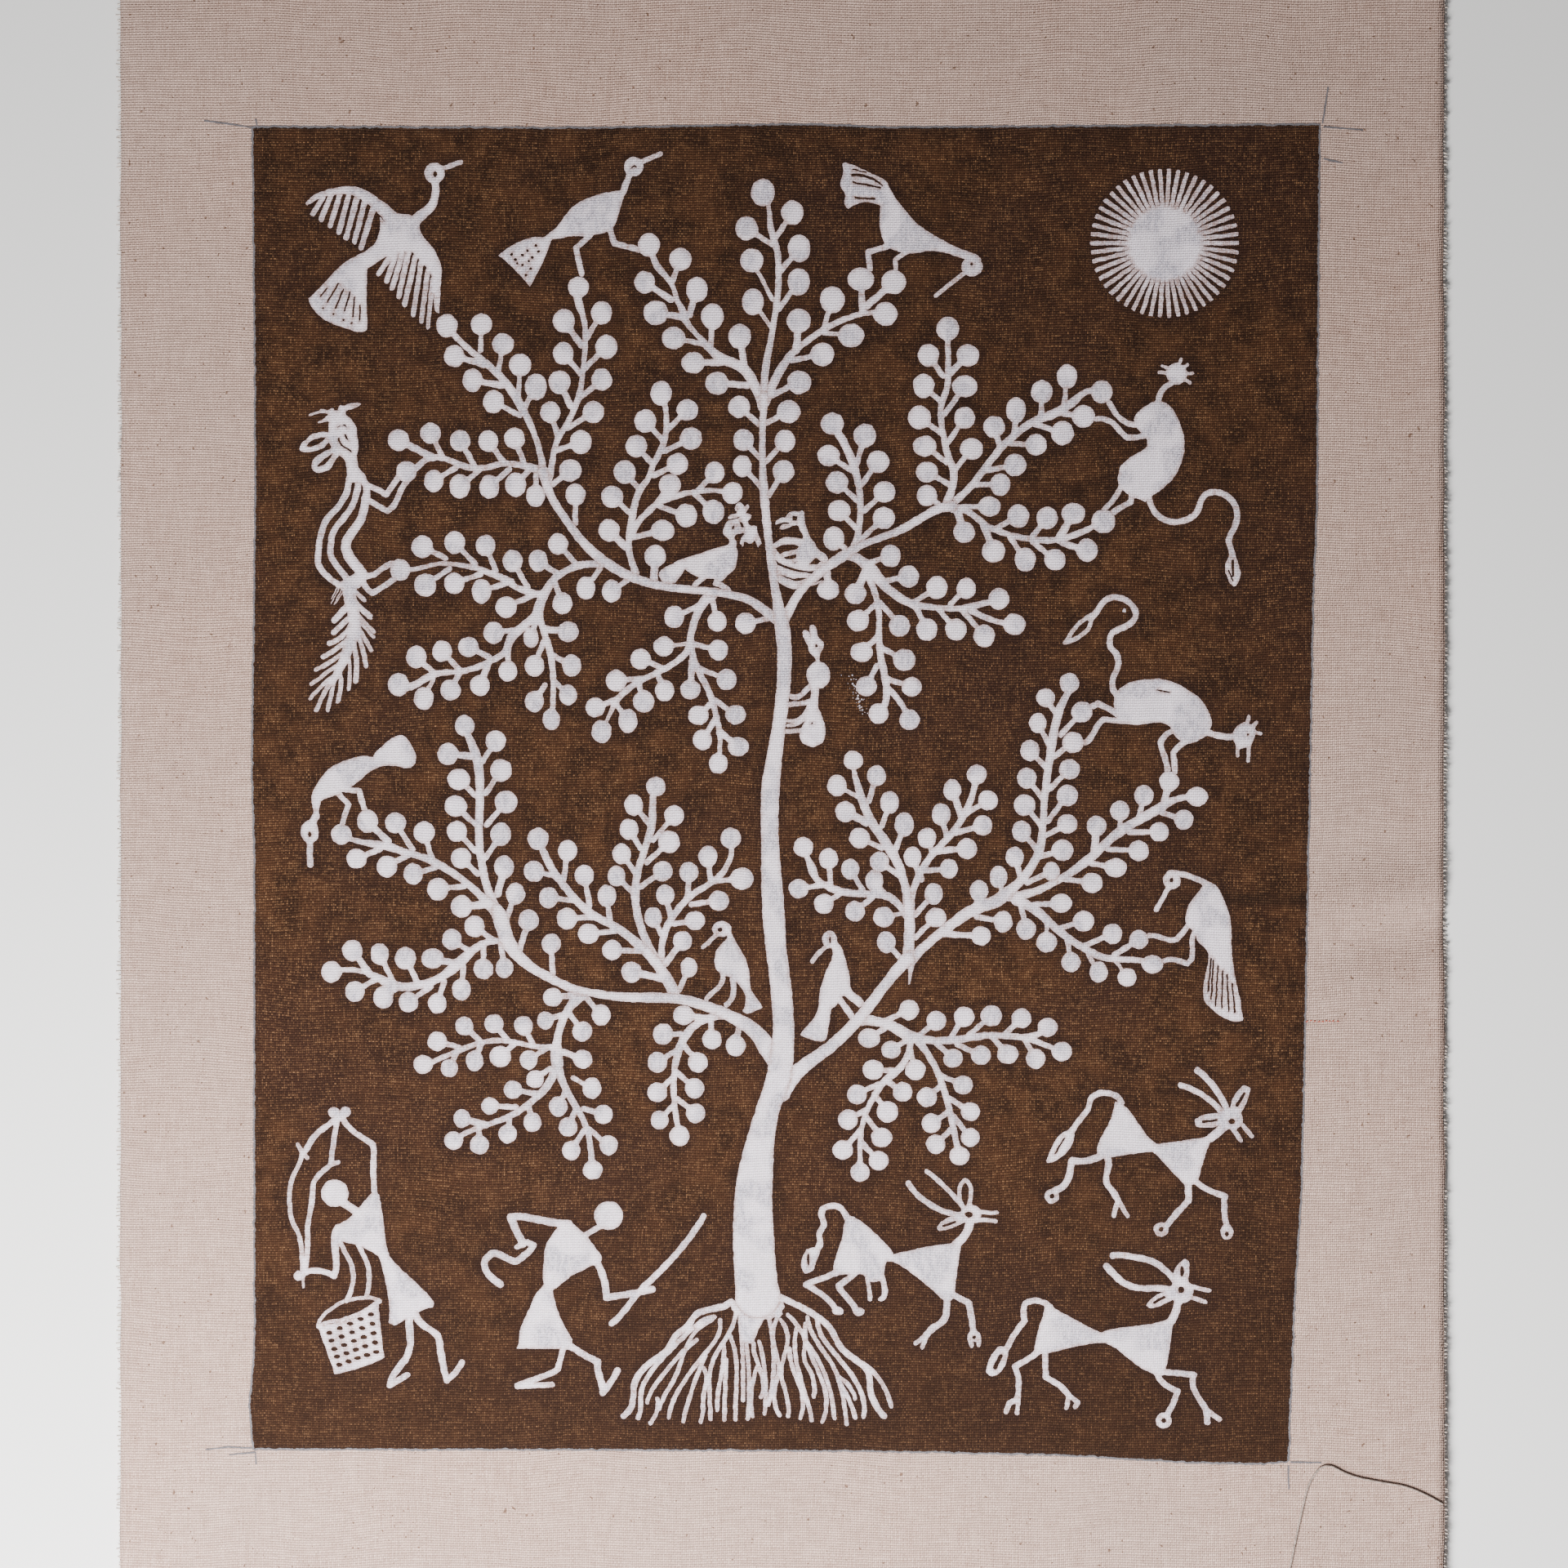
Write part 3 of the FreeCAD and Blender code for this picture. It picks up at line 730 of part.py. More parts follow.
spray("right_trunkside_spray",
    twigs=[
        stroke((8.2, -19.2, 1.3), (12.6, -20.7, 1.4), (17.7, -21, 1.3), (20.1, -21.4, 1.5),
        (21.8, -22.6, 1.4), (23.6, -25, 1.5)),
        stroke((8.2, -19.2, 1.2), (6.5, -18, 1.3), (5.6, -16.1, 1.6), (4.8, -14.1, 1), (4, -12, 1)),
        stroke((7.5, -19.3, 1.1), (3.1, -19.9, 0.9)),
    ],
    tips=[(4, -12, 3.8, 3.8), (3.1, -19.9, 3.8, 3.7)],
    leaves=[
        (8.8, -14.2, 9.2, -19.2, 3.6, 4), (12.9, -16.2, 15.3, -20.2, 3.4, 3.9),
        (17.5, -18.4, 19.7, -21.2, 3.4, 4.2), (7.9, -22.8, 11.6, -20.5, 3.8, 3.8),
        (13.8, -24.2, 17, -21.7, 3.8, 3.9), (19.3, -25.3, 22.8, -24.6, 4, 3.9, 0.8),
    ])

spray("lower_right_rising_spray",
    twigs=[
        stroke((37, 1.8, 1), (34, -6.9, 1.3), (32.6, -9, 1.3), (28.9, -13, 1.3), (25.8, -17.8, 1.3),
        (25, -19.8, 1.3), (24.4, -24, 1.6)),
    ],
    tips=[(37, 1.8, 3.8, 3.8)],
    leaves=[
        (32.3, -1.1, 34.2, -6.3, 3.4, 4.1, 1.3), (39.1, -3.1, 35, -5.6, 3.8, 3.8),
        (30.2, -5.8, 31.4, -10.3, 3.6, 4.3), (38.1, -7.9, 33.1, -9.3, 3.7, 3.9),
        (27.5, -10.3, 28.7, -13.4, 3.5, 4), (35.1, -12.3, 29.6, -12.7, 3.9, 4, 1.2),
        (24.8, -13.9, 26.4, -18.1, 3.4, 3.9, 1.2), (31.7, -16.1, 27.2, -16.5, 3.4, 3.8),
        (28.8, -20.9, 25.2, -25, 3.5, 4.1), (29.2, -25.4, 25.3, -29.2, 4, 3.7),
    ])

spray("lower_right_tall_spray",
    twigs=[
        stroke((54.6, 19.2, 1.3), (54.4, 17.5, 1.3), (53.7, 16.2, 1.4), (51.3, 7.7, 1.6),
        (49.8, -3.9, 1.3), (49.4, -10, 1.4), (48.9, -12.7, 1.6), (47.6, -15.4, 1.6), (45.9, -17.8, 1.7),
        (44.2, -19.5, 1.8), (42.5, -20.9, 2.2), (40.8, -22.2, 2.4), (38.1, -23.2, 2.3),
        (30.9, -27.7, 1.9), (27.2, -30.8, 1.7), (24.2, -33.8, 2.2)),
    ],
    tips=[(54.6, 19.2, 3.7, 3.9)],
    leaves=[
        (50.1, 16.4, 52.4, 12.8, 3.6, 3.6), (48.6, 11.6, 50.6, 7.7, 3.3, 3.8),
        (47.1, 6.4, 50, 3.3, 3.7, 4.1), (46.5, 1.1, 49.5, -2.7, 3.7, 4), (46.1, -4, 49.3, -8, 4.1, 4.1),
        (45.5, -9, 48.4, -12.4, 3.6, 4.1), (44.2, -13.9, 45.4, -17.8, 3.4, 3.9),
        (41.1, -17.7, 42, -21.5, 3.3, 4.3), (37.4, -20.3, 36.7, -23.9, 3.5, 4.1),
        (42, -26.2, 37, -25.3, 3.6, 4.1), (37.8, -28.9, 30.3, -28.5, 3.7, 3.7, 1.2),
        (57, 13.7, 53, 9.4, 4.1, 4), (55.3, 7.9, 51.4, 5, 4.1, 4), (54.6, 2.8, 51, -0.8, 4, 3.8),
        (54.2, -2.2, 50.5, -7.1, 4.1, 4.1), (54.2, -7.6, 49.5, -10.1, 3.8, 3.8),
        (53.3, -12.6, 49.3, -13.7, 4.2, 4.1), (51.2, -16.6, 46.6, -18.8, 3.2, 3.6),
    ])

spray("lower_right_outer_sprays",
    twigs=[
        stroke((78.9, -2.4, 1.2), (76.5, -2.5, 1.2), (73.8, -3.4, 1.4), (71.7, -4.6, 1.8),
        (67, -7.3, 1.7), (64.3, -9, 1.9), (62.2, -10.7, 1.7), (58.2, -14.4, 1.8), (54.1, -17.3, 1.4),
        (50, -19.6, 1.4), (46.6, -20.9, 1.6), (42.6, -21.3, 2)),
        stroke((70.4, -34.3, 1.1), (68.3, -33.6, 1.1), (62.9, -33.3, 1.3), (59.8, -32.5, 1.4),
        (57.5, -31.3, 1.4), (52.7, -28, 1.5), (48.9, -24.6, 1.7), (44.5, -22.2, 1.9)),
    ],
    tips=[(78.9, -2.4, 4.2, 3.7), (70.4, -34.3, 4.1, 3.5)],
    leaves=[
        (73.6, 0.5, 72.6, -3.9, 3.8, 3.9, 1.3), (68.8, -2.2, 67.8, -6.6, 3.7, 4),
        (64.2, -5.1, 64.3, -8.9, 3.7, 3.8), (59.8, -8, 59.3, -13.4, 3.8, 3.9, 1.4),
        (76.4, -6.8, 72.1, -5.4, 3.7, 3.8), (71.7, -9.1, 66, -9.2, 3.7, 3.7),
        (67.8, -12.7, 61.9, -12.4, 3.9, 4), (63.4, -15.9, 58.8, -15.1, 4.3, 3.7),
        (58.9, -18.8, 53.7, -18.1, 4.1, 3.8), (53, -22.7, 48, -22.9, 4.2, 3.6),
        (57.3, -26.1, 52.7, -27.5, 4.1, 4), (62.8, -28.5, 57.8, -30.6, 3.7, 3.9),
        (67.8, -29.6, 63.2, -32.5, 3.6, 3.7), (46.4, -27.6, 45.4, -23.2, 3.7, 4.1),
        (50.3, -30.1, 50.3, -26.4, 3.9, 3.9, 0.7), (54.9, -33.9, 54.2, -29.7, 3.6, 3.9, 0.9),
        (60.2, -35.8, 58.2, -32.5, 3.5, 4, 0.8), (65.6, -36.8, 63.6, -34, 3.6, 3.5, 0.6),
    ])

spray("lower_right_hanging_sprays",
    twigs=[
        stroke((50.5, -46.3, 1.2), (49.6, -47.1, 1.2), (46.6, -48.1, 1.2), (40.8, -47.8, 1.2),
        (31.6, -48.8, 1.4), (28.9, -48.8, 1.4), (24.1, -47.9, 2.2), (20, -45.7, 1.9), (18, -45.2, 1.8),
        (16, -44.9, 2), (13.9, -45.3, 2.2)),
        stroke((46.6, -48.3, 1.2), (53.2, -50.9, 0.9)),
        stroke((14.8, -73.9, 0.9), (14.8, -68.8, 1), (15.6, -63.4, 1), (18, -58.6, 1.2),
        (19.4, -56.6, 1.3), (21.1, -55.2, 1.5), (22.8, -53.5, 1.3), (24, -51.1, 1.1), (24.3, -48.8, 1.4)),
        stroke((33.7, -70.8, 1), (30.8, -58.3, 1.2), (28.9, -53.5, 1.2), (27.5, -51.1, 1.2),
        (25.8, -49.1, 1.4)),
    ],
    tips=[(50.5, -46.3, 3.8, 3.6), (53.2, -50.9, 3.9, 3.7), (14.8, -73.9, 3.7, 3.7), (33.7, -70.8, 3.8, 3.6)],
    leaves=[
        (24.1, -43, 20, -44.9, 3.8, 3.9), (29.3, -45.1, 26.2, -47.7, 3.8, 3.8),
        (34.6, -44.3, 32.3, -47.9, 3.9, 3.9), (39.8, -44.1, 35.4, -47.9, 4.1, 4),
        (45.5, -44.6, 42.3, -47.7, 3.8, 3.8), (16.5, -48.4, 19.6, -46.4, 4.2, 3.7),
        (20.7, -50.6, 23.6, -48.8, 3.8, 3.4), (32.5, -52.2, 29.2, -49.3, 3.7, 3.6),
        (37.8, -51.6, 33.3, -49.6, 3.8, 3.7), (42.9, -51.4, 39.9, -48.1, 4.1, 3.7),
        (48.2, -52.3, 46, -48.4, 3.7, 3.8), (25.3, -54.4, 24.3, -50.8, 3.9, 3.9),
        (17.3, -54.4, 21.4, -54.6, 4.1, 3.8), (14.2, -59.1, 18.4, -57.1, 3.7, 3.8),
        (22.9, -58.6, 19.7, -56.4, 3.8, 3.7), (12.5, -63.9, 16, -62, 3.8, 3.9),
        (20, -62.4, 17.5, -59.1, 4.1, 4.1), (11.5, -69.7, 14.7, -66.1, 3.9, 3.7),
        (18.9, -67.3, 16, -63.4, 4, 3.7), (18.3, -71.7, 15.1, -68.3, 3.8, 3.7),
        (27.5, -59.6, 30.4, -57.3, 3.8, 3.7), (34.4, -57.3, 30.3, -55.6, 3.8, 3.6),
        (28.4, -64.6, 31.6, -62.4, 3.7, 3.8), (35.8, -62.4, 31.8, -59.8, 3.6, 3.6),
        (29.2, -68.6, 32.1, -65.8, 3.7, 3.7), (35.8, -67.3, 32.5, -63.2, 3.6, 3.6),
    ])

# ---------------------------------------------------------------- birds, beasts and people
film("flying_bird",
    marks=[
        spot(-66.2, 116.3, 3.9, 3.9), line(0.9, (-64.6, 117.2), (-61.2, 118.4)),
        taper((-66.1, 114.8, 1.4), (-66.1, 112, 1.4), (-66.6, 110.3, 1.6), (-68.3, 108.7, 1.9),
              (-69.7, 107.4, 2)),
        shape((-69.5, 107.6), (-70.5, 108.3), (-73.1, 108.6), (-75.1, 110.2), (-77.2, 111.7),
              (-79.6, 113.2), (-81.9, 113.8), (-84.5, 113.7), (-87, 113.1), (-89.4, 112),
              (-90.8, 110.5), (-90.4, 110.1), (-87.5, 111.7), (-84.3, 112.3), (-81, 111.8),
              (-79, 110.5), (-78, 109.7), (-76.7, 108.4), (-75.6, 107), (-74.6, 104.5), (-75, 101.6),
              (-72.9, 100.8), (-71.2, 101.7), (-69.9, 100.7), (-68.8, 99.5), (-67.5, 98.1),
              (-66.6, 96.2), (-66.4, 93.5), (-66, 90), (-65.3, 89.6), (-65.2, 92.7), (-65, 95.4),
              (-64.9, 98.1), (-65.5, 100.2), (-66.6, 102.2), (-68.3, 104.2), (-69, 105.9)),
        taper((-87.5, 111.5, 0.9), (-89.4, 108.6, 1)), taper((-86, 112, 1), (-87.8, 107.5, 1)),
        taper((-84.3, 112.1, 1), (-86.1, 106.3, 1)), taper((-82.6, 112, 1), (-84.5, 105, 1)),
        taper((-81, 111.6, 1.1), (-83.1, 104, 1)), taper((-79.6, 110.8, 1.1), (-81.5, 103.2, 1)),
        taper((-78, 109.4, 1.2), (-80.2, 102.1, 1)), taper((-74.6, 100.6, 1.1), (-76.9, 97.1, 1)),
        taper((-73.6, 101, 1.1), (-75.4, 95.7, 1)), taper((-72.4, 101, 1.1), (-74.3, 94.4, 1)),
        taper((-71.2, 101.3, 1.1), (-73.1, 92.8, 1)), taper((-69.9, 100.4, 1.1), (-71.9, 91.3, 1)),
        taper((-68.8, 99.2, 1), (-70.3, 89.3, 0.9)), taper((-67.5, 97.8, 1), (-68.8, 88, 0.9)),
        taper((-66.6, 96, 0.9), (-67.5, 86.9, 0.8)),
        shape((-76.7, 108), (-80.6, 100.8), (-82.6, 99.8), (-86, 96.8), (-90.3, 92.5), (-89.4, 90.5),
              (-87.4, 88.6), (-85, 87.4), (-82.6, 86.6), (-79.9, 86.1), (-79, 86.6), (-79.2, 93),
              (-79.1, 98.1), (-76.8, 99.6), (-73.5, 101.6), (-73.5, 105)),
    ],
    gaps=[
        spot(-66.1, 116.1, 0.9, 1.2), line(0.35, (-86.7, 94.4), (-88, 92.9)),
        line(0.35, (-84.5, 95.4), (-86.7, 91.7)), line(0.35, (-83.6, 94.2), (-85.2, 90.5)),
        line(0.35, (-82.4, 93.7), (-83.4, 90)), line(0.35, (-81.5, 92.7), (-81.8, 89)),
        line(0.35, (-80.4, 91.3), (-80.5, 88.3)), spot(-87.5, 90.6, 0.5, 0.5),
        spot(-85.5, 89.5, 0.5, 0.5), spot(-83.6, 88.4, 0.5, 0.5), spot(-82, 87.8, 0.5, 0.5),
    ])

film("crane",
    marks=[
        spot(-28.3, 117.5, 3.7, 3.7), line(0.9, (-26.9, 118.4), (-23.1, 120)),
        line(1.2, (-29.1, 116), (-30.3, 112.7)),
        shape((-29.9, 112.9), (-30.6, 110.3), (-31.3, 108), (-32, 106.3), (-33.5, 105.1),
              (-35.4, 104.6), (-37, 104.3), (-40.8, 104.2), (-43.8, 103.6), (-45.9, 103.9),
              (-43.8, 105.3), (-41.8, 107.6), (-39.4, 110.3), (-37, 111.5), (-34, 112.5),
              (-30.9, 112.9)),
        shape((-43.8, 103.6), (-46, 104.1), (-52, 102.2), (-54.1, 100.7), (-51, 98), (-48.1, 94.7),
              (-45.7, 99.1), (-44, 103.6)),
        line(1.1, (-36.5, 104.5), (-39.3, 102), (-38.2, 97.1)),
        line(1.1, (-32.9, 105.8), (-32, 102.9), (-27.2, 101.7)),
    ],
    gaps=[
        spot(-51.5, 100.8, 0.6, 0.6), spot(-50.8, 99.8, 0.6, 0.6), spot(-49.5, 100.7, 0.6, 0.6),
        spot(-48.6, 101.5, 0.6, 0.6), spot(-46.9, 102.5, 0.6, 0.6), spot(-46.4, 101.3, 0.6, 0.6),
        spot(-47.6, 100.2, 0.6, 0.6), spot(-48.3, 99.5, 0.5, 0.5), spot(-49.5, 98.8, 0.6, 0.6),
        spot(-50.5, 99.1, 0.5, 0.5), spot(-48.8, 96.9, 0.6, 0.6), spot(-47.9, 98.1, 0.6, 0.6),
        line(0.3, (-28.8, 117.2), (-28.2, 117.8), (-27.7, 117.3)),
    ])

film("long_billed_bird",
    marks=[
        shape((19.4, 115.1), (18, 115.8), (16, 116.8), (13.9, 117.7), (11.9, 118.4), (11.3, 118),
              (11.6, 116.5), (11.1, 114.9), (11.2, 113.6), (12, 112.4), (11.8, 110.9), (12.6, 109.5),
              (14, 110.4), (18.7, 110.2), (18.5, 108), (18.7, 105.3), (19.2, 103.6), (20, 102.4),
              (21.8, 101.5), (26.2, 101.2), (27.5, 101.5), (30.9, 101.2), (34, 100.2), (38, 99.8),
              (36.7, 100.9), (34.5, 101.7), (32.6, 102.5), (29.9, 103.9), (27.2, 105.6),
              (24.8, 107.6), (22.8, 110), (21.1, 112.4), (20.2, 114.1)),
        spot(36.1, 98.5, 4.1, 3.7), line(0.8, (34.6, 97.3), (29.2, 93)),
        line(1.1, (20.7, 102.6), (16.3, 101.3)), line(1.1, (16.3, 101.3), (16.7, 98.1)),
        line(0.9, (24.1, 101.6), (21.4, 99.8)), line(0.9, (21.4, 99.8), (21.6, 98.1)),
    ],
    gaps=[
        line(0.3, (13.3, 117.1), (16, 116.5)),
        taper((13.4, 116, 0.6), (18, 114.8, 0.4), (19.2, 113.9, 0.2)),
        line(0.4, (13.4, 114.6), (18.7, 113.6)), line(0.4, (13.8, 111.7), (17.7, 111.4)),
        spot(36.1, 99, 0.6, 0.6),
    ])

film("crested_bird",
    marks=[
        shape((-8.1, 53.7), (-8.6, 53.4), (-8.9, 53), (-9, 52.2), (-8.9, 52), (-8.6, 51.8),
              (-8.9, 51.5), (-9.7, 51.3), (-10.1, 51.1), (-10.4, 50.7), (-10.1, 50.3), (-10.6, 49.8),
              (-11, 49.1), (-11.3, 48.3), (-11.2, 47.6), (-10.6, 47), (-10.3, 46.7), (-10.1, 46.1),
              (-10.4, 45.6), (-10.9, 45.4), (-13.6, 44.6), (-16.3, 43.7), (-19, 42.9), (-21.4, 41.7),
              (-23.1, 40.7), (-23.5, 40), (-23.3, 39.1), (-22.1, 38.1), (-20.4, 38.3), (-19.4, 39.6),
              (-18.5, 41), (-16.3, 39.5), (-14.6, 39.1), (-12.9, 39), (-11.6, 38.6), (-10, 40),
              (-8.8, 41.7), (-8.6, 43.1), (-8.5, 44.1), (-8.6, 44.5), (-8.8, 45.3), (-8.7, 45.8),
              (-9, 46.5), (-9.1, 47.1), (-8.7, 47.5), (-8, 47.7), (-7.2, 47.8), (-7, 47.6),
              (-7.5, 47.3), (-7.9, 46.6), (-8.2, 45.8), (-7.8, 45.6), (-7.6, 45.1), (-7.4, 45.3),
              (-7.4, 46), (-7.1, 46.3), (-6.8, 46), (-6.4, 45.7), (-5.9, 45.8), (-5.3, 46.5),
              (-5, 46), (-4.8, 45.3), (-4.6, 44.9), (-4.5, 45.3), (-4, 45.6), (-4.1, 46.5),
              (-4.5, 47.3), (-4.8, 48), (-4.9, 48.5), (-4.8, 48.9), (-5.3, 49.3), (-5.7, 49.2),
              (-6.1, 49.2), (-6.4, 49.5), (-6.5, 50.2), (-6.1, 50.5), (-5.8, 50.9), (-6, 51.3),
              (-6.4, 51.5), (-7, 51.7), (-6.7, 52.1), (-6.4, 52.5), (-6.3, 53), (-6.6, 53.3),
              (-6.9, 53.1), (-7.2, 52.7), (-7.5, 53.1), (-7.8, 53.5)),
        line(1, (-15, 39.2), (-16.7, 38)),
        line(1, (-12.2, 39.2), (-12.8, 38.1), (-11.2, 37.6), (-10.2, 36.8)),
    ],
    gaps=[
        shape((-9.8, 48.7), (-9.1, 49.3), (-9, 48.7), (-9.6, 48.4)),
        shape((-8.1, 49.9), (-7.6, 49.9), (-7.2, 48.8), (-7.8, 48.8)),
        spot(-8.5, 52.3, 0.2, 0.4), line(0.2, (-10.1, 50.3), (-9.2, 50.5), (-8.1, 50.9)),
    ])

film("striped_bird",
    marks=[
        shape((-1.4, 49.4), (-0.8, 50.4), (-0.1, 50.7), (0.5, 50.7), (1, 51.3), (1.6, 51.8),
              (2.3, 51.9), (3.1, 51.8), (3.6, 52), (4.1, 51.8), (4.2, 50.4), (4.4, 49.4), (4.7, 48.5),
              (5.1, 47.5), (5.6, 46.6), (6.2, 45.9), (6.7, 44.9), (7.3, 44.4), (8, 43.8), (8.6, 43.2),
              (8.9, 42.2), (9.1, 41), (9.2, 39.5), (8.2, 39.2), (6.2, 37.8), (5, 37.6), (3.4, 37.2),
              (1.5, 37.2), (0.1, 37.9), (-1, 38.9), (-1.5, 40), (-2, 43), (-2.2, 45.5), (-1.6, 45.8),
              (-0.8, 46.4), (0, 46.8), (1.1, 47), (2.3, 46.9), (3.1, 46.8), (3.8, 46.6), (4, 47),
              (3.8, 47.6), (3.3, 48.4), (3, 49.1), (2.7, 49.3), (1.9, 49.1), (1, 48.7), (-0.1, 48.5),
              (-0.6, 48.6), (-0.4, 49.1), (0.2, 49.4), (1.1, 49.5), (1.4, 49.8), (0.9, 49.8),
              (0, 49.7), (-0.9, 49.5)),
    ],
    gaps=[
        shape((1.9, 51), (2.9, 51), (2.8, 50.1), (1.9, 50.1)),
        shape((-1.6, 45.1), (-1.2, 44.8), (-0.7, 45.3), (0, 45.5), (1.4, 45.6), (2.3, 45.5),
              (3.3, 45.3), (3.1, 45), (1.4, 44.4), (0, 44), (-0.4, 43.7), (-1.1, 44.5)),
        shape((0.2, 43.2), (1.4, 43.5), (2.8, 43.8), (2.6, 43), (1.8, 42.8), (0.8, 42.8)),
        shape((6.3, 43.2), (7.5, 42.3), (7, 42.1), (6.8, 41.8), (4.9, 41.8), (5.6, 42.4)),
        shape((-1.3, 42.7), (-0.7, 42.1), (0.3, 41.6), (2, 41.1), (3.3, 40.7), (4.9, 40.5),
              (6.2, 40.6), (6.9, 40.7), (6.1, 40.1), (4.6, 40.2), (3.3, 40.3), (2, 40.6), (0.5, 41.1),
              (-0.6, 41.6), (-0.9, 41.5)),
        shape((-0.4, 40.3), (0.1, 39.7), (1.1, 39.4), (2.1, 39.1), (3.3, 39.2), (4.6, 39.2),
              (4, 38.9), (2.9, 38.6), (2, 38.8), (0.8, 39.2), (0, 39.6)),
        shape((7.8, 39.6), (7.8, 38.9), (6.9, 38.6), (6.1, 38), (6.6, 38.6)),
        spot(2.4, 42.1, 0.4, 0.2),
    ])

film("monkey",
    marks=[
        spot(75.1, 78.1, 4, 4), line(0.6, (73.6, 78.3), (71.7, 78.4)),
        line(0.6, (73.8, 79), (72.3, 79.6)), line(0.6, (75.3, 79.6), (76, 81)),
        line(0.6, (76, 79), (77.2, 79.9)), line(0.6, (76.8, 78.2), (78.1, 78.2)),
        line(0.6, (76.2, 77.2), (77.7, 76.4)), line(1.1, (74, 76.3), (72.1, 74.6), (71.6, 72.6)),
        shape((70.2, 72.6), (71.7, 72.9), (73.4, 72.3), (74.8, 70.7), (75.8, 68.5), (76.5, 65.8),
              (76.5, 63.4), (75.8, 60.7), (74.5, 58.3), (72.4, 56.3), (70.4, 54.9), (69, 53.6),
              (67.7, 54.3), (66.3, 54.8), (65.1, 55.8), (64.1, 57), (64, 59.3), (64.6, 60.7),
              (66.3, 62.2), (68.3, 63.4), (69.4, 64.3), (69.4, 65.8), (68.4, 66.7), (67.2, 68.6),
              (67, 69.5), (67.5, 70.6), (68.7, 71.7)),
        line(1.1, (67.6, 68.4), (65.8, 68.7), (64.4, 69.5), (63.2, 70.9), (62.2, 72.6)),
        line(1.1, (69, 66.4), (67, 66), (65.6, 66), (64.3, 67.2), (62.6, 68.9), (60.9, 69.5),
              (59.7, 69.5)),
        line(1, (64.6, 57), (63.8, 55.3), (62.6, 53.6), (61.2, 52.2)),
        line(1.1, (66.5, 55.2), (66.3, 53.7), (64.6, 52.7), (62.9, 51.7)),
        line(1.15, (69.8, 54.8), (70.4, 52.6), (71.7, 51), (73.4, 50.1), (75.1, 49.9), (77.2, 50.4),
              (78.9, 51.7), (79.6, 53.6), (80.6, 55.1), (82.3, 55.6), (84, 55.2), (85.7, 53.9),
              (86.5, 52.2), (86.5, 50.2), (85.7, 48.1), (85, 46.4), (85.5, 44.4), (85.6, 43)),
        shape((85, 43.4), (86.2, 43.6), (86.9, 41.7), (87.2, 40), (86.7, 38.3), (86.1, 37.6),
              (85.5, 38), (84.6, 39.5), (84.3, 41.3)),
    ],
    gaps=[
        line(0.5, (85.7, 42.6), (85.8, 39.6)), line(0.3, (84.9, 40.7), (85.8, 38.6)),
    ])

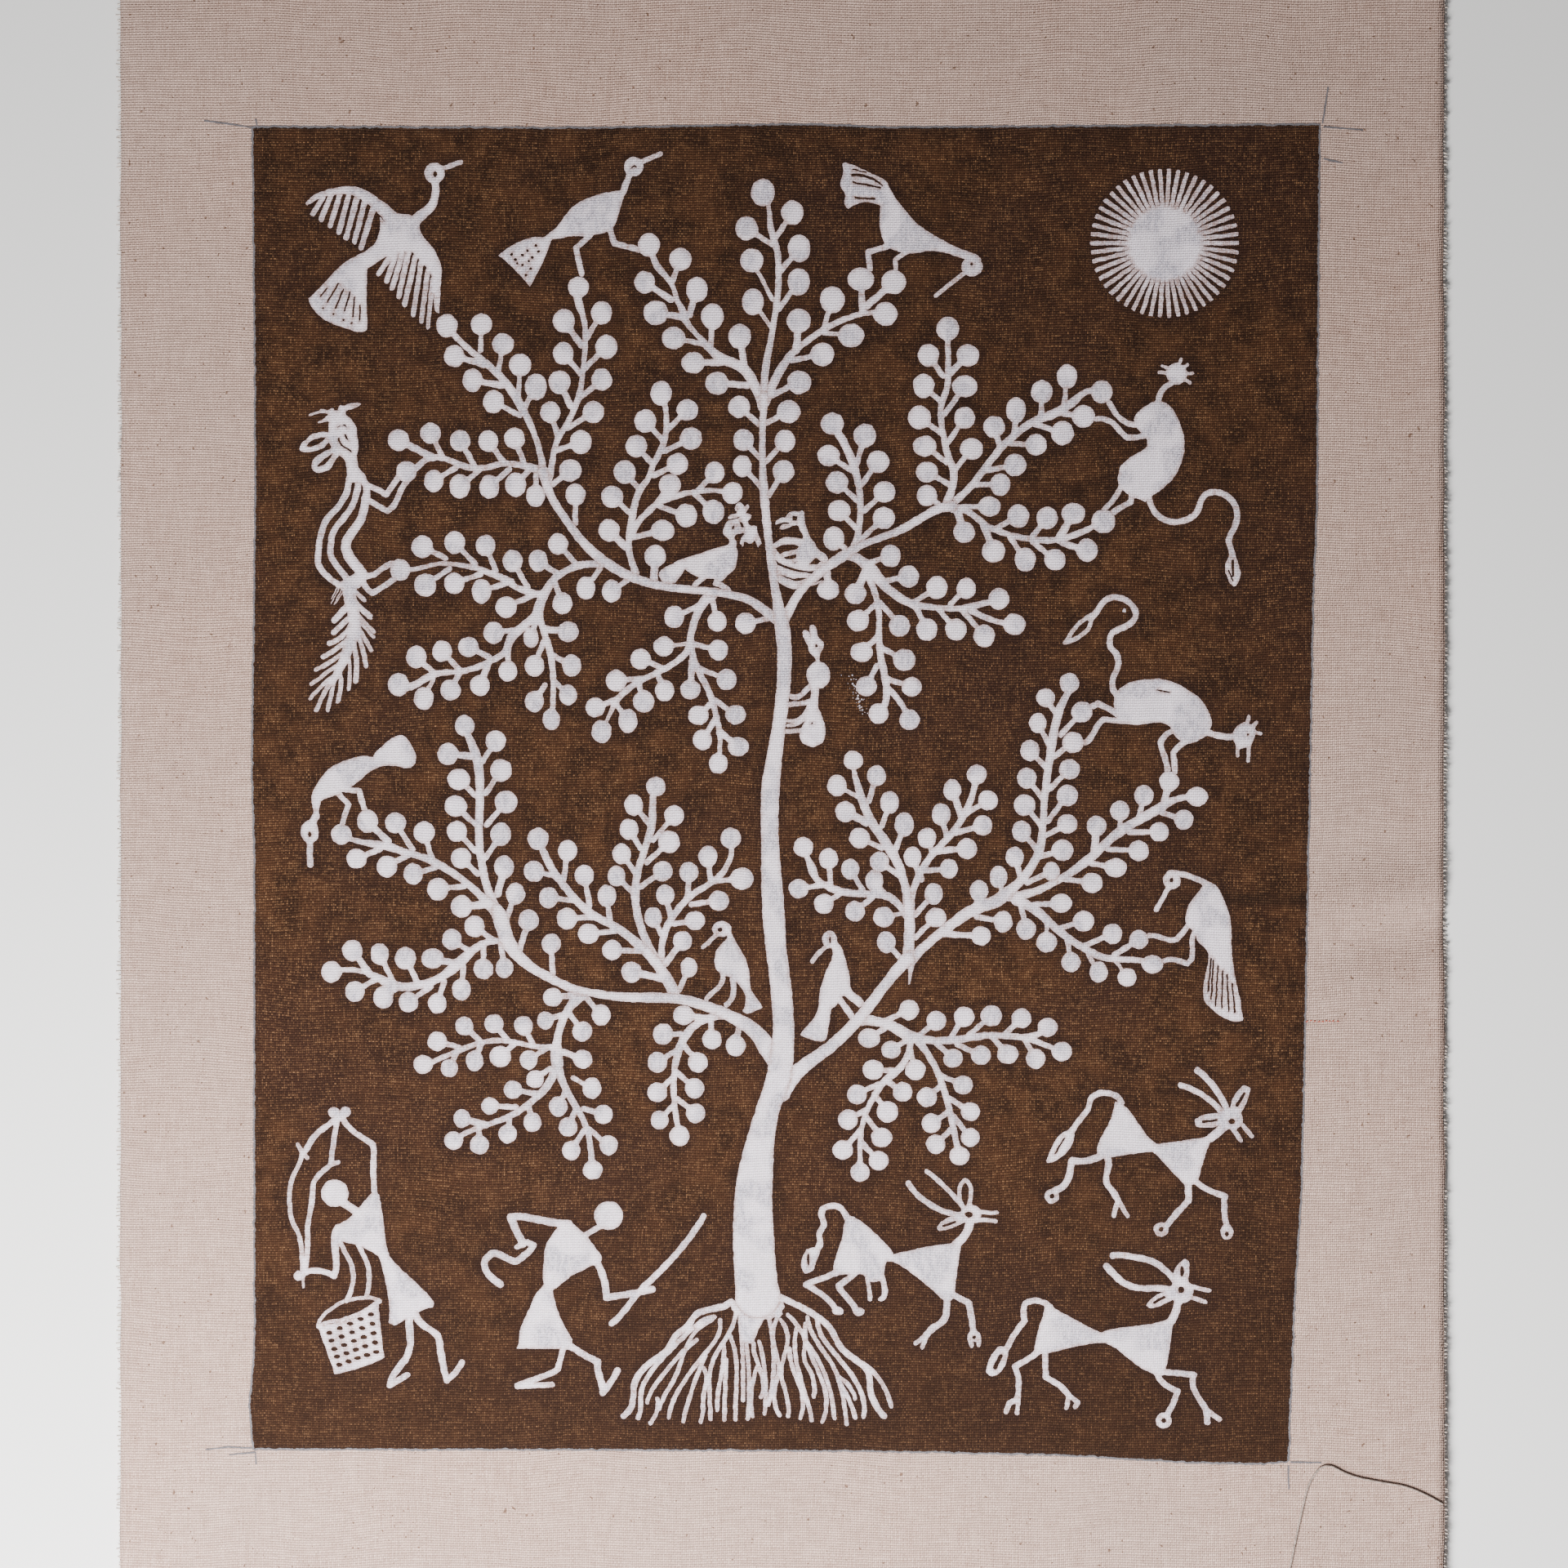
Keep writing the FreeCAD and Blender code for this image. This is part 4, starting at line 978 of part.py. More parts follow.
film("striped_squirrel",
    marks=[
        shape((-90.4, 70.2), (-89.6, 70.7), (-88.5, 71), (-88.1, 71.3), (-87.5, 71.4), (-86.4, 71.3),
              (-85.9, 71.6), (-85.5, 71.6), (-85.3, 71.2), (-84.6, 71.1), (-84.5, 71.7),
              (-84.4, 72.1), (-84, 72.3), (-83.5, 72), (-82.6, 72.4), (-81.5, 72.6), (-80.7, 72.7),
              (-80.2, 72.4), (-80.9, 71.8), (-82.4, 71.3), (-83.2, 70.9), (-83.1, 70.2),
              (-82.4, 69.7), (-81.8, 69), (-81.2, 67.9), (-81, 66.6), (-80.8, 65.3), (-80.8, 64.2),
              (-81, 62.6), (-81, 61.7), (-80.8, 60.4), (-80, 59.5), (-79.3, 58.3), (-79.3, 57.5),
              (-83, 57.5), (-82.9, 58.7), (-83, 60.2), (-83.2, 61), (-83.8, 62.2), (-84.3, 62.6),
              (-85.3, 61.3), (-85.9, 60.3), (-86.9, 59.6), (-88, 59.3), (-89.2, 59.5), (-89.7, 60.2),
              (-89.6, 61.1), (-89.1, 62), (-88.1, 62.8), (-87, 63.5), (-85.9, 64), (-85.8, 64.2),
              (-86.4, 65.2), (-87.2, 64.2), (-88.3, 63.6), (-89.6, 63.3), (-90.7, 63.2),
              (-91.7, 63.3), (-91.9, 63.8), (-91.5, 65), (-90.8, 65.5), (-90.2, 66.2), (-89.1, 66.8),
              (-87.5, 67), (-86.5, 66.9), (-86.4, 68.1), (-86.4, 69.1), (-87, 69), (-88.4, 68.5),
              (-88.7, 68.8), (-87.9, 69.3), (-86.8, 70.1), (-86.4, 70.5), (-87.9, 70.6),
              (-89.3, 70.3), (-89.8, 70.1)),
        line(1.15, (-82.4, 58.6), (-82.6, 57.6), (-82.8, 56), (-83.6, 54.3), (-85.3, 52),
              (-86.9, 50.2), (-87.7, 48.1), (-88.2, 46.1), (-88.4, 43.7), (-88.4, 42), (-87.7, 40.7),
              (-86, 39), (-84.3, 37.8)),
        line(1.2, (-81.2, 58.6), (-80.9, 56.3), (-81.4, 54.3), (-82.6, 51.9), (-84.3, 49.8),
              (-85.5, 48), (-86, 45.8), (-86, 43.7), (-85, 41.7), (-83.3, 39.6), (-82.6, 38.3)),
        taper((-80, 58.4, 1.3), (-79.6, 57.6, 1.3), (-79.2, 56, 1.4), (-79.4, 53.9, 1.5),
              (-79.9, 51.5, 1.6), (-81.3, 48.8, 1.7), (-82.6, 47, 1.8), (-83.1, 45.1, 1.9),
              (-82.6, 43.4, 2), (-81.3, 41.7, 2), (-79.9, 40, 1.8)),
        shape((-85, 38), (-82.6, 39.4), (-80.4, 40.6), (-79.2, 40.2), (-79.4, 38.6), (-81, 37.2),
              (-83.4, 36.8)),
        line(1.1, (-80.4, 58.5), (-79.2, 57.1), (-77.2, 56.1), (-75.5, 55.1)),
        line(1.1, (-75.5, 55.1), (-74.1, 57), (-73.1, 58.5)),
        line(1.1, (-79.6, 54.5), (-77.2, 53.1), (-75.3, 52)),
        line(1.1, (-75.3, 52), (-74.1, 52.9), (-72.8, 55.6), (-71.6, 57.5)),
        line(1.1, (-80.2, 40), (-78, 39.8), (-75.8, 41.3), (-74.1, 42)),
        line(1.1, (-80, 39), (-79.2, 37.3), (-78, 36.3)),
        line(1.1, (-78, 36.3), (-75.8, 37.8), (-73.8, 39.1)),
        taper((-82.7, 37.7, 2.2), (-82, 34, 2.4), (-81.4, 30.7, 2.2), (-81.7, 28.2, 2.2),
              (-82.5, 26.3, 2), (-83.3, 24, 1.8), (-84.2, 22.3, 1.6), (-85, 20.7, 1.4),
              (-86.2, 19.5, 1)),
        line(1.3, (-82.9, 33.8), (-85.3, 31.2)), line(1, (-82.2, 32), (-84, 30.2), (-85.5, 28.8)),
        line(1, (-82.2, 30.2), (-84, 28), (-86.3, 26.8)),
        line(0.95, (-82.5, 27.8), (-85, 25.7), (-87.5, 24.2)),
        line(0.8, (-83.3, 25.2), (-86.2, 23.2), (-88.9, 21.7)),
        line(0.75, (-84.4, 22.9), (-87.3, 20.8), (-89.8, 19)),
        line(0.75, (-86, 20.2), (-88.2, 18.2), (-90, 16.2)),
        line(0.85, (-86, 19.6), (-87.5, 16.8), (-88.8, 14)),
        line(0.8, (-85.3, 19.8), (-86, 16.7), (-86.6, 14)),
        line(0.8, (-84.2, 21), (-84.2, 17.7), (-84.7, 15.7)),
        line(0.7, (-82.6, 24.6), (-82.4, 20.7), (-82.6, 18)),
        line(1, (-81.6, 26.5), (-81.1, 21.5), (-81.3, 19.6)),
        line(0.8, (-82, 37.3), (-80.7, 36), (-79.6, 35)),
        line(0.6, (-81.8, 35.8), (-80, 33.5), (-78.2, 32.1)),
        line(0.7, (-81.4, 34.6), (-79.7, 32.7), (-78.4, 31.5)),
        line(0.7, (-81, 32.6), (-78.8, 30), (-77.7, 28.9)),
        line(0.6, (-81, 31.5), (-79, 29.2), (-77.8, 27.9)),
        line(0.8, (-81, 30.2), (-79.3, 27.3), (-78.3, 25.4)),
        line(0.9, (-81, 28.8), (-79.7, 24.7), (-79.3, 22.5)), line(0.2, (-84.6, 37.9), (-86, 35.2)),
        line(0.2, (-84.2, 37.7), (-86, 34.3)), line(0.2, (-83.8, 37.4), (-85.3, 34.2)),
        line(0.2, (-83.4, 37), (-84.9, 34.6)),
    ],
    gaps=[
        shape((-87, 66), (-87.9, 66), (-89.1, 65.7), (-90, 65.2), (-90.6, 64.3), (-89.6, 64.3),
              (-88.3, 64.8), (-87.5, 65.4)),
        shape((-85.6, 63), (-86.4, 62.5), (-87.5, 61.7), (-88.7, 60.5), (-87.6, 60.7), (-86.6, 61.5),
              (-85.8, 62.5)),
        shape((-83.5, 66.7), (-83, 66.5), (-82.6, 65.4), (-83.1, 65.6)),
        shape((-84.7, 67.7), (-84.6, 68.3), (-83.8, 68.3), (-83.4, 68.7), (-82.6, 67.7),
              (-83.1, 68.1), (-84.4, 68.1)),
        line(0.35, (-84.5, 65.9), (-84.2, 64.9), (-83.4, 64.2), (-82.6, 63.7), (-82.1, 63.2)),
    ])

film("drinking_bird",
    marks=[
        shape((-77.9, 5.3), (-76.2, 7.2), (-73.8, 9), (-72.9, 9.4), (-72, 9.1), (-70.7, 7.5),
              (-69.8, 5.6), (-70, 3.8), (-71.1, 3.1), (-73.8, 3.4), (-76, 3.4), (-78, 2.7),
              (-79.9, 1.2), (-81.8, -0.3), (-83.6, -1.5), (-84.7, -2), (-86.3, -2.5), (-88, -3.4),
              (-88.2, -4.9), (-88.2, -6.6), (-89.3, -6.6), (-89.4, -4.6), (-89.7, -2.9),
              (-89.1, -0.8), (-88, 1), (-86.7, 2.6), (-84.7, 3.9), (-81.9, 4.9), (-79.6, 5.4),
              (-78, 5.1)),
        spot(-90, -9.1, 3.4, 4.4), line(1.3, (-88.8, -6), (-89.7, -7.8)),
        line(1.2, (-90, -11), (-89.9, -15.4)),
        line(1, (-84.6, -1.8), (-82.6, -3.9), (-83.3, -5.9), (-83.8, -7.6)),
        line(1.1, (-83.5, -1), (-80.6, -1.3), (-80.1, -3.2), (-79.4, -5.2)),
    ],
    gaps=[
        spot(-90, -9.6, 0.7, 1.2),
    ])

film("spiny_headed_beast",
    marks=[
        shape((63.8, 17.9), (64.9, 18.7), (66.6, 19.5), (69, 19.9), (71.7, 20), (73.8, 19.6),
              (75.8, 18.7), (77.9, 17.5), (79.6, 16.2), (80.7, 14.6), (81.4, 13.1), (81.7, 11.4),
              (81.4, 10.4), (80.7, 9.3), (79.6, 8.5), (77.5, 7.8), (75.8, 8.2), (74.6, 9.4),
              (74, 10.6), (73.4, 11.2), (71.7, 11.7), (69.7, 11.6), (67.3, 11.2), (64.9, 11.5),
              (63.6, 11.6), (63.6, 13.1), (63.1, 14.8), (63.2, 16.5)),
        line(1.2, (80.6, 10), (83, 9.2), (85.8, 9)),
        shape((85.9, 10), (86.7, 11.1), (88, 11.8), (89.6, 11.2), (90.1, 10), (89.9, 8.9),
              (89.2, 7.3), (87, 6.6), (86, 8)),
        line(0.7, (88.4, 11.2), (88.8, 12.9)), line(0.7, (89.3, 10.9), (90.3, 11.8)),
        line(0.6, (89.8, 9.9), (91.1, 9.6)), line(0.75, (86.7, 7.2), (86.6, 5.4)),
        line(0.75, (88.8, 7.6), (88.6, 4.4)),
        line(1.2, (64, 13.2), (61.5, 14.6), (60, 15.3), (59, 14.8)),
        line(1.1, (64.2, 12), (61.2, 12.3), (60.4, 11.6), (59.2, 9.7), (57.6, 7.8)),
        line(1.1, (75.2, 10.3), (72.8, 9.2), (72, 8)),
        line(1.1, (72, 8), (72.4, 6), (73.1, 3.9), (73.3, 2.2)),
        line(1.1, (76.8, 8.2), (75.1, 6.8), (74.4, 6)), line(1.1, (74.4, 6), (74.6, 3.9), (74.6, 2.2)),
        line(1.15, (64.2, 16.6), (62.9, 18.2), (62.9, 19.9), (63.6, 21.6), (63.9, 23.3), (63.4, 25),
              (62.4, 26.1), (62.3, 27.4), (62.9, 28.9), (64.9, 29.8), (66.6, 30.8), (67.3, 32.5),
              (66.6, 34), (64.9, 35.2), (63.2, 35.6), (61.7, 35.1), (60.2, 33.4), (58.6, 31.4)),
        line(0.8, (58.7, 32.1), (56.8, 30.8), (55.1, 28.9), (54.2, 27.4), (53.7, 26.9)),
        line(0.8, (58.8, 31.2), (58, 29.3), (56.1, 27.8), (53.8, 26.9)),
    ],
    gaps=[
        spot(88.6, 9.4, 0.5, 0.5), line(0.3, (71.2, 17.9), (73.8, 17.5)),
    ])

film("curled_neck_bird",
    marks=[
        spot(74.1, -18.3, 3.4, 3.4), line(0.9, (73.5, -19.7), (71.1, -24)),
        line(1.1, (73.8, -16.9), (75.8, -17.1), (78.2, -17.8), (80.8, -19.1)),
        shape((80.6, -18.3), (82.8, -19.7), (84, -21.9), (84.8, -23.9), (85.3, -26), (85.4, -30.1),
              (85.7, -33.5), (86.3, -37.2), (87, -40.6), (87.7, -44.9), (86, -45.2), (83.5, -44.2),
              (81.9, -43), (80.2, -40.8), (80.1, -39.6), (80.6, -35.8), (81.1, -32.8), (80.4, -31.1),
              (78.9, -29.7), (78.5, -28.2), (77.5, -27.5), (76.7, -26), (77, -23.9), (78.2, -21.7),
              (79.6, -20)),
        line(1, (77.4, -26.6), (75.8, -28.7), (75, -29.6), (73.8, -29.7), (71.7, -29.1),
              (69.5, -28.9)),
        line(1, (78.6, -28), (78.2, -28.7), (78, -31.1), (77.9, -33.3)),
        line(1, (77.9, -33.3), (77, -34.2), (75.8, -33.8), (74.1, -33.4), (72.4, -33.7)),
    ],
    gaps=[
        spot(74.1, -18.3, 0.9, 0.9), line(0.35, (81.6, -33.2), (81, -39.6)),
        line(0.35, (82, -33.5), (81.6, -41)), line(0.35, (82.9, -34.5), (82.4, -42.3)),
        line(0.35, (83.8, -35.5), (83.6, -42.6)), line(0.35, (84.6, -36.2), (85, -43.3)),
        line(0.35, (85.6, -37.9), (86.1, -43.5)),
    ])

film("trunk_hare",
    marks=[
        shape((5.2, 30), (5.7, 30.4), (6.2, 30.2), (6.6, 29.1), (6.9, 28), (7.4, 27.5), (7.9, 26.9),
              (7.9, 26.1), (7.5, 25.3), (7.3, 24.9), (7.3, 23), (6.3, 23), (6.1, 24.2), (5.1, 25.1),
              (4.9, 26.2), (4.3, 27.2), (3.9, 28.3), (3.9, 29.1), (4.4, 29.3), (4.8, 29.2),
              (5.1, 28.8), (5.4, 27.8), (5.2, 29.4)),
        spot(6.85, 20.7, 4.5, 5.2), line(1.5, (6.2, 18.6), (6, 14.4)),
        shape((5.2, 15), (6.7, 15), (7.6, 12.6), (8.2, 9.8), (7.6, 7.8), (5.7, 6.9), (3.9, 7.8),
              (3.3, 9.6), (4, 11.4), (4.7, 13.2)),
        line(1, (5.3, 18.6), (4.2, 17.5), (3.4, 16.8), (1.5, 16.7)),
        line(0.95, (5.3, 15.9), (4.2, 15.4), (2.9, 15.3), (1.3, 15.1)),
        line(0.9, (5.1, 14.8), (4.3, 13.3), (3.4, 12.4), (1, 12.1)),
        line(0.6, (4.8, 13.4), (3.2, 11.6), (1, 11.1)), line(0.8, (3.6, 10.2), (0.5, 10)),
    ],
    gaps=[
        spot(6.4, 26.3, 0.5, 0.8), spot(5.6, 11.5, 0.4, 0.4),
    ])

film("left_fork_bird",
    marks=[
        spot(-11.5, -27.6, 3.7, 3), line(0.8, (-12.6, -28.7), (-15.1, -31.1)),
        shape((-10, -27), (-9.2, -29.4), (-7.8, -31.8), (-6.8, -33.8), (-6.3, -36.2), (-6, -38.9),
              (-4.8, -40.9), (-3.8, -42.6), (-6.8, -43.8), (-7.7, -43.3), (-7, -40.9), (-7.5, -39.2),
              (-8.8, -37.7), (-10.2, -36.7), (-11.6, -36.2), (-12.8, -34.7), (-12.9, -33.1),
              (-12.4, -31.4), (-11.2, -30.1), (-10.4, -29.2), (-10.8, -28)),
        line(0.9, (-11.4, -36.2), (-11.6, -37.9), (-12.9, -39.4), (-14.5, -40.9)),
        line(1, (-9.5, -37.2), (-9.3, -39.6), (-9.7, -40.9), (-10.7, -42.1)),
    ],
    gaps=[
        spot(-11.9, -27.7, 1.1, 0.8),
    ])

film("right_fork_bird",
    marks=[
        spot(9, -29.6, 2.9, 3.4), line(0.9, (8.7, -30.8), (7.2, -31.9), (5.7, -33.8)),
        shape((10, -29.6), (11.4, -31.6), (11.9, -33.1), (12.4, -34.8), (12.8, -36.9), (12.9, -38.2),
              (13.1, -39.1), (13.9, -39.9), (15.6, -41.8), (14.6, -42.6), (11.9, -40.3),
              (10.7, -41.3), (10.4, -42), (9.4, -42.6), (9.2, -43.7), (8.8, -46.4), (8.4, -48.4),
              (7.1, -49), (5.4, -48.6), (3.3, -47.9), (3.9, -46.9), (5.3, -45.4), (6.6, -43.3),
              (6.9, -42), (7, -40.6), (7.3, -38.6), (8, -36.5), (8.7, -34.7), (9.5, -33.1),
              (9.5, -31.8), (9, -30.8)),
        line(1.2, (10.9, -41), (13.6, -44.7)),
    ],
    gaps=[
        spot(9.1, -29.7, 0.5, 1.5),
    ])

film("archer",
    marks=[
        spot(-85.4, -62.5, 2.2, 2), spot(-83.2, -62.4, 2.2, 2),
        line(1.1, (-84.3, -63), (-86.7, -65.1), (-89.1, -67.1), (-90.6, -69.5), (-91.4, -70.5)),
        line(0.8, (-92.3, -68.6), (-91.3, -70.2), (-90.4, -71.2)),
        line(0.85, (-91.4, -70.5), (-91.8, -71.9), (-93.1, -74.6), (-93.7, -76.6), (-93.8, -79.7),
              (-93.3, -83.1), (-92.1, -85.8), (-91.5, -88.9), (-91.4, -92.3)),
        line(1, (-84.4, -63), (-85.3, -67.1), (-85.7, -70.2), (-86, -72.5), (-88, -74.2),
              (-89.2, -75.9), (-89.4, -77), (-89.7, -80.4), (-90.3, -83.8), (-90.4, -88.2),
              (-90.8, -91.9)),
        line(0.8, (-86, -72.5), (-84.5, -72)), line(0.5, (-91.1, -92.6), (-91.2, -95.8)),
        line(1.1, (-84, -63), (-81.3, -66.4), (-79.2, -67.8), (-77.9, -68.6), (-77.8, -70.2),
              (-77.9, -73.6), (-77.7, -77), (-77.6, -78.6)),
        spot(-85.2, -77.9, 5.2, 5.2), line(1.5, (-83.8, -79.6), (-80.9, -81.4)),
        shape((-78, -77.8), (-80.4, -80.4), (-81.6, -81.8), (-84, -83.6), (-85, -84), (-84.3, -86.9),
              (-82.6, -87.4), (-80.6, -87.9), (-78.5, -88.9), (-76.7, -90.2), (-75.6, -92),
              (-74.8, -89.9), (-75.1, -88.9), (-75.8, -84.5), (-76.3, -80.7), (-76.8, -78)),
        spot(-92, -93.6, 2, 2), line(1.1, (-91.1, -93.1), (-88.7, -92.6), (-86.7, -93), (-85.3, -93.7)),
        taper((-85.3, -93.7, 1.1), (-85, -89.9, 1.3), (-85.2, -86.5, 1.5), (-84.6, -84.6, 1.5)),
        line(0.9, (-84.3, -86.8), (-83, -89.6), (-81.9, -91.9), (-81.7, -94.3), (-82.1, -96.4),
              (-83, -98.4)),
        line(0.9, (-80.9, -87.5), (-79.6, -89.9), (-78.8, -92.3), (-78.7, -94.7), (-79.2, -97.7)),
        shape((-76.7, -90.2), (-74.8, -89.9), (-73.4, -91.6), (-70.4, -94.3), (-68.3, -96.4),
              (-66.3, -98.7), (-66.5, -99.6), (-69.5, -100.6), (-71.7, -101.8), (-73.8, -103.2),
              (-74.9, -102.6), (-74.8, -100.4), (-75.3, -96), (-76, -92.6)),
        taper((-70.9, -101, 1.4), (-70.9, -104.9, 1.4), (-70.9, -107.2, 1.3), (-71.7, -109.3, 1.3),
              (-73.4, -111.6, 1.2), (-74.8, -114.5, 1.1)),
        line(1.1, (-74.8, -114.5), (-71.4, -112.5)),
        line(1.3, (-69.9, -100.6), (-67.7, -103.5), (-65.6, -105.2), (-65.1, -107.6), (-64.6, -110.6),
              (-63.9, -113.5)),
        line(1.1, (-63.9, -113.5), (-62.2, -112), (-61, -110.1)),
    ])

film("kneeling_man",
    marks=[
        spot(-33.1, -82.2, 5.5, 5.5), line(1.1, (-34.3, -84), (-37.7, -86)),
        shape((-42.7, -84.3), (-40.8, -83.1), (-39.9, -83.8), (-38.1, -85.3), (-37, -86.5),
              (-35.7, -88.2), (-34.3, -90.1), (-34.5, -90.9), (-36.4, -91.9), (-38.4, -92.8),
              (-40.1, -93.6), (-41.8, -95), (-43.7, -96.4), (-45.4, -95.3), (-45.6, -92.6),
              (-45.4, -90.6), (-44.9, -87.5), (-43.8, -85.8)),
        shape((-45.4, -95.3), (-47.6, -98.4), (-48.9, -101.5), (-50, -104.2), (-50.3, -106.6),
              (-50.7, -107.6), (-42.1, -107.6), (-40.8, -107.6), (-39.9, -105.9), (-41.5, -103.2),
              (-42.5, -101.1), (-43.3, -98.7), (-43.7, -96.4)),
        line(1.4, (-40.8, -83.7), (-43.5, -83.5), (-46.9, -82.9), (-49.6, -82.4), (-51.8, -82.5)),
        line(1.4, (-51.8, -82.5), (-50, -86.5), (-49.5, -87.6)),
        line(1, (-50.6, -88.2), (-48.6, -87.2), (-47.4, -87.9)),
        line(1.3, (-47.4, -87.9), (-48.9, -89.6), (-50.8, -90.9), (-52, -90.6), (-53.7, -89.7),
              (-55.4, -89.4), (-56.6, -90.6), (-56.6, -92.3), (-55.4, -94), (-53.7, -95.3)),
        line(1.3, (-35.4, -91), (-34, -94.3), (-33.5, -97.8)),
        line(1.3, (-33.5, -97.9), (-30.9, -97.4), (-28.2, -97), (-24.8, -96.2)),
        line(1.2, (-32.5, -102.8), (-29.9, -100.1), (-27.9, -97.4), (-23.8, -93.3), (-19.7, -88.9),
              (-15, -82.3)),
        line(1.1, (-41.6, -107.2), (-42.3, -109.6), (-42.8, -111.6)),
        line(1.1, (-42.8, -111.6), (-45.2, -112.7), (-48.6, -113.9), (-50.5, -114.6)),
        line(1.1, (-50.5, -114.7), (-43.8, -114.4)),
        line(1.3, (-40.6, -106.9), (-37.7, -108.8), (-35.2, -110)),
        line(1.3, (-35.2, -110), (-35, -112.3), (-34.3, -114.7), (-34.2, -116)),
        line(1.2, (-34.2, -116), (-33, -114.4), (-31.4, -111.7)),
    ])

film("cow",
    marks=[
        shape((12.1, -82.9), (12.4, -82.6), (13.6, -82.4), (18, -85.8), (21.2, -89.5), (20.9, -90.9),
              (19.8, -91), (19.5, -92.3), (19.3, -94), (17.7, -94.8), (16.7, -94.7), (15.5, -93.6),
              (14.3, -93.3), (9.8, -93.4), (10, -90.6), (10.7, -88.5), (11.6, -85.2)),
        line(0.8, (16.2, -94.3), (16.5, -96), (16.7, -98.2)),
        line(1, (19, -93.8), (19.5, -96), (19.4, -97.4), (18.7, -98.1)),
        line(1.2, (12.6, -83), (11.9, -81.8), (11.1, -80.7), (9.5, -80.3), (7.8, -80.9), (7.4, -82.1),
              (7.9, -83.8), (7, -85.8), (7.2, -87.5), (6.6, -88.6)),
        shape((6.8, -88), (4.6, -88.7), (3.7, -90.6), (3.7, -92.3), (4.6, -93.3), (6.1, -92.6),
              (6.6, -90.6), (7, -88.4)),
        line(1.1, (10.4, -93), (7.2, -94.3), (4.4, -95.3)),
        line(1.1, (4.4, -95.3), (7.2, -97), (9.2, -98.7), (10.2, -100.2)), spot(10.6, -100.4, 2.2, 1.6),
        line(1.2, (13.9, -93), (12.2, -94.5), (10.7, -95.5)),
        line(1.2, (10.7, -95.5), (12.2, -97.7), (13.6, -99.4), (14.1, -100.5)),
        spot(14.6, -100.5, 2.2, 1.6),
        shape((20.9, -89.6), (26.2, -88.4), (31.6, -87.5), (34.2, -87.2), (34, -88.2), (33.6, -90.6),
              (33.1, -94.3), (32.8, -97), (32.3, -98.2), (30.3, -98.1), (28.6, -96.4), (25.5, -93.8),
              (22.8, -91.9), (20.6, -90.8)),
        line(1.6, (33, -87.6), (35, -85.5), (35.7, -83.4)), spot(35.9, -81.9, 4, 3.6),
        line(0.8, (36, -80.4), (37.4, -81.2), (40.8, -81.6)),
        line(0.8, (36.7, -83.3), (37.5, -83.1), (40.6, -83.3)),
        line(1.1, (24, -76), (24.8, -77.2), (26.2, -78.7), (28.3, -80.2), (30.8, -81.4),
              (34.2, -82.1)),
        line(0.9, (27.4, -73.7), (30, -75.8), (32.5, -78.3), (34.6, -80.7)),
        line(0.8, (34.7, -75.4), (33.7, -77.2), (33.8, -79), (34.5, -80.8)),
        line(0.8, (35.1, -75.5), (35.9, -77), (35.9, -78.5), (35.5, -80.6)),
        shape((34.2, -82.4), (30.6, -83.1), (29.4, -84.5), (29.7, -85.2), (32, -84.6), (34.8, -83.4)),
        line(1.3, (31.4, -97.8), (31.3, -100.1), (30.9, -101.8), (28.9, -103.5), (27.4, -105)),
        line(0.9, (27.4, -105), (25.4, -106.5)), line(0.9, (27.4, -105.2), (26.7, -107.2)),
        line(1.2, (32.3, -97.2), (34.3, -98.2), (35.5, -98.9)),
        line(1.2, (35.5, -98.9), (36, -101.5), (36.4, -104.4)), spot(36.5, -105.2, 2.6, 2.2),
        line(0.8, (35.6, -105.6), (36.1, -107)), line(0.8, (37.4, -105.6), (37.4, -106.9)),
    ],
    gaps=[
        spot(4.95, -90.6, 0.5, 2.6), spot(35.5, -82, 1.6, 1.1), line(0.45, (30.6, -84.2), (33, -83.4)),
        spot(36.5, -105.4, 0.8, 0.7),
    ])

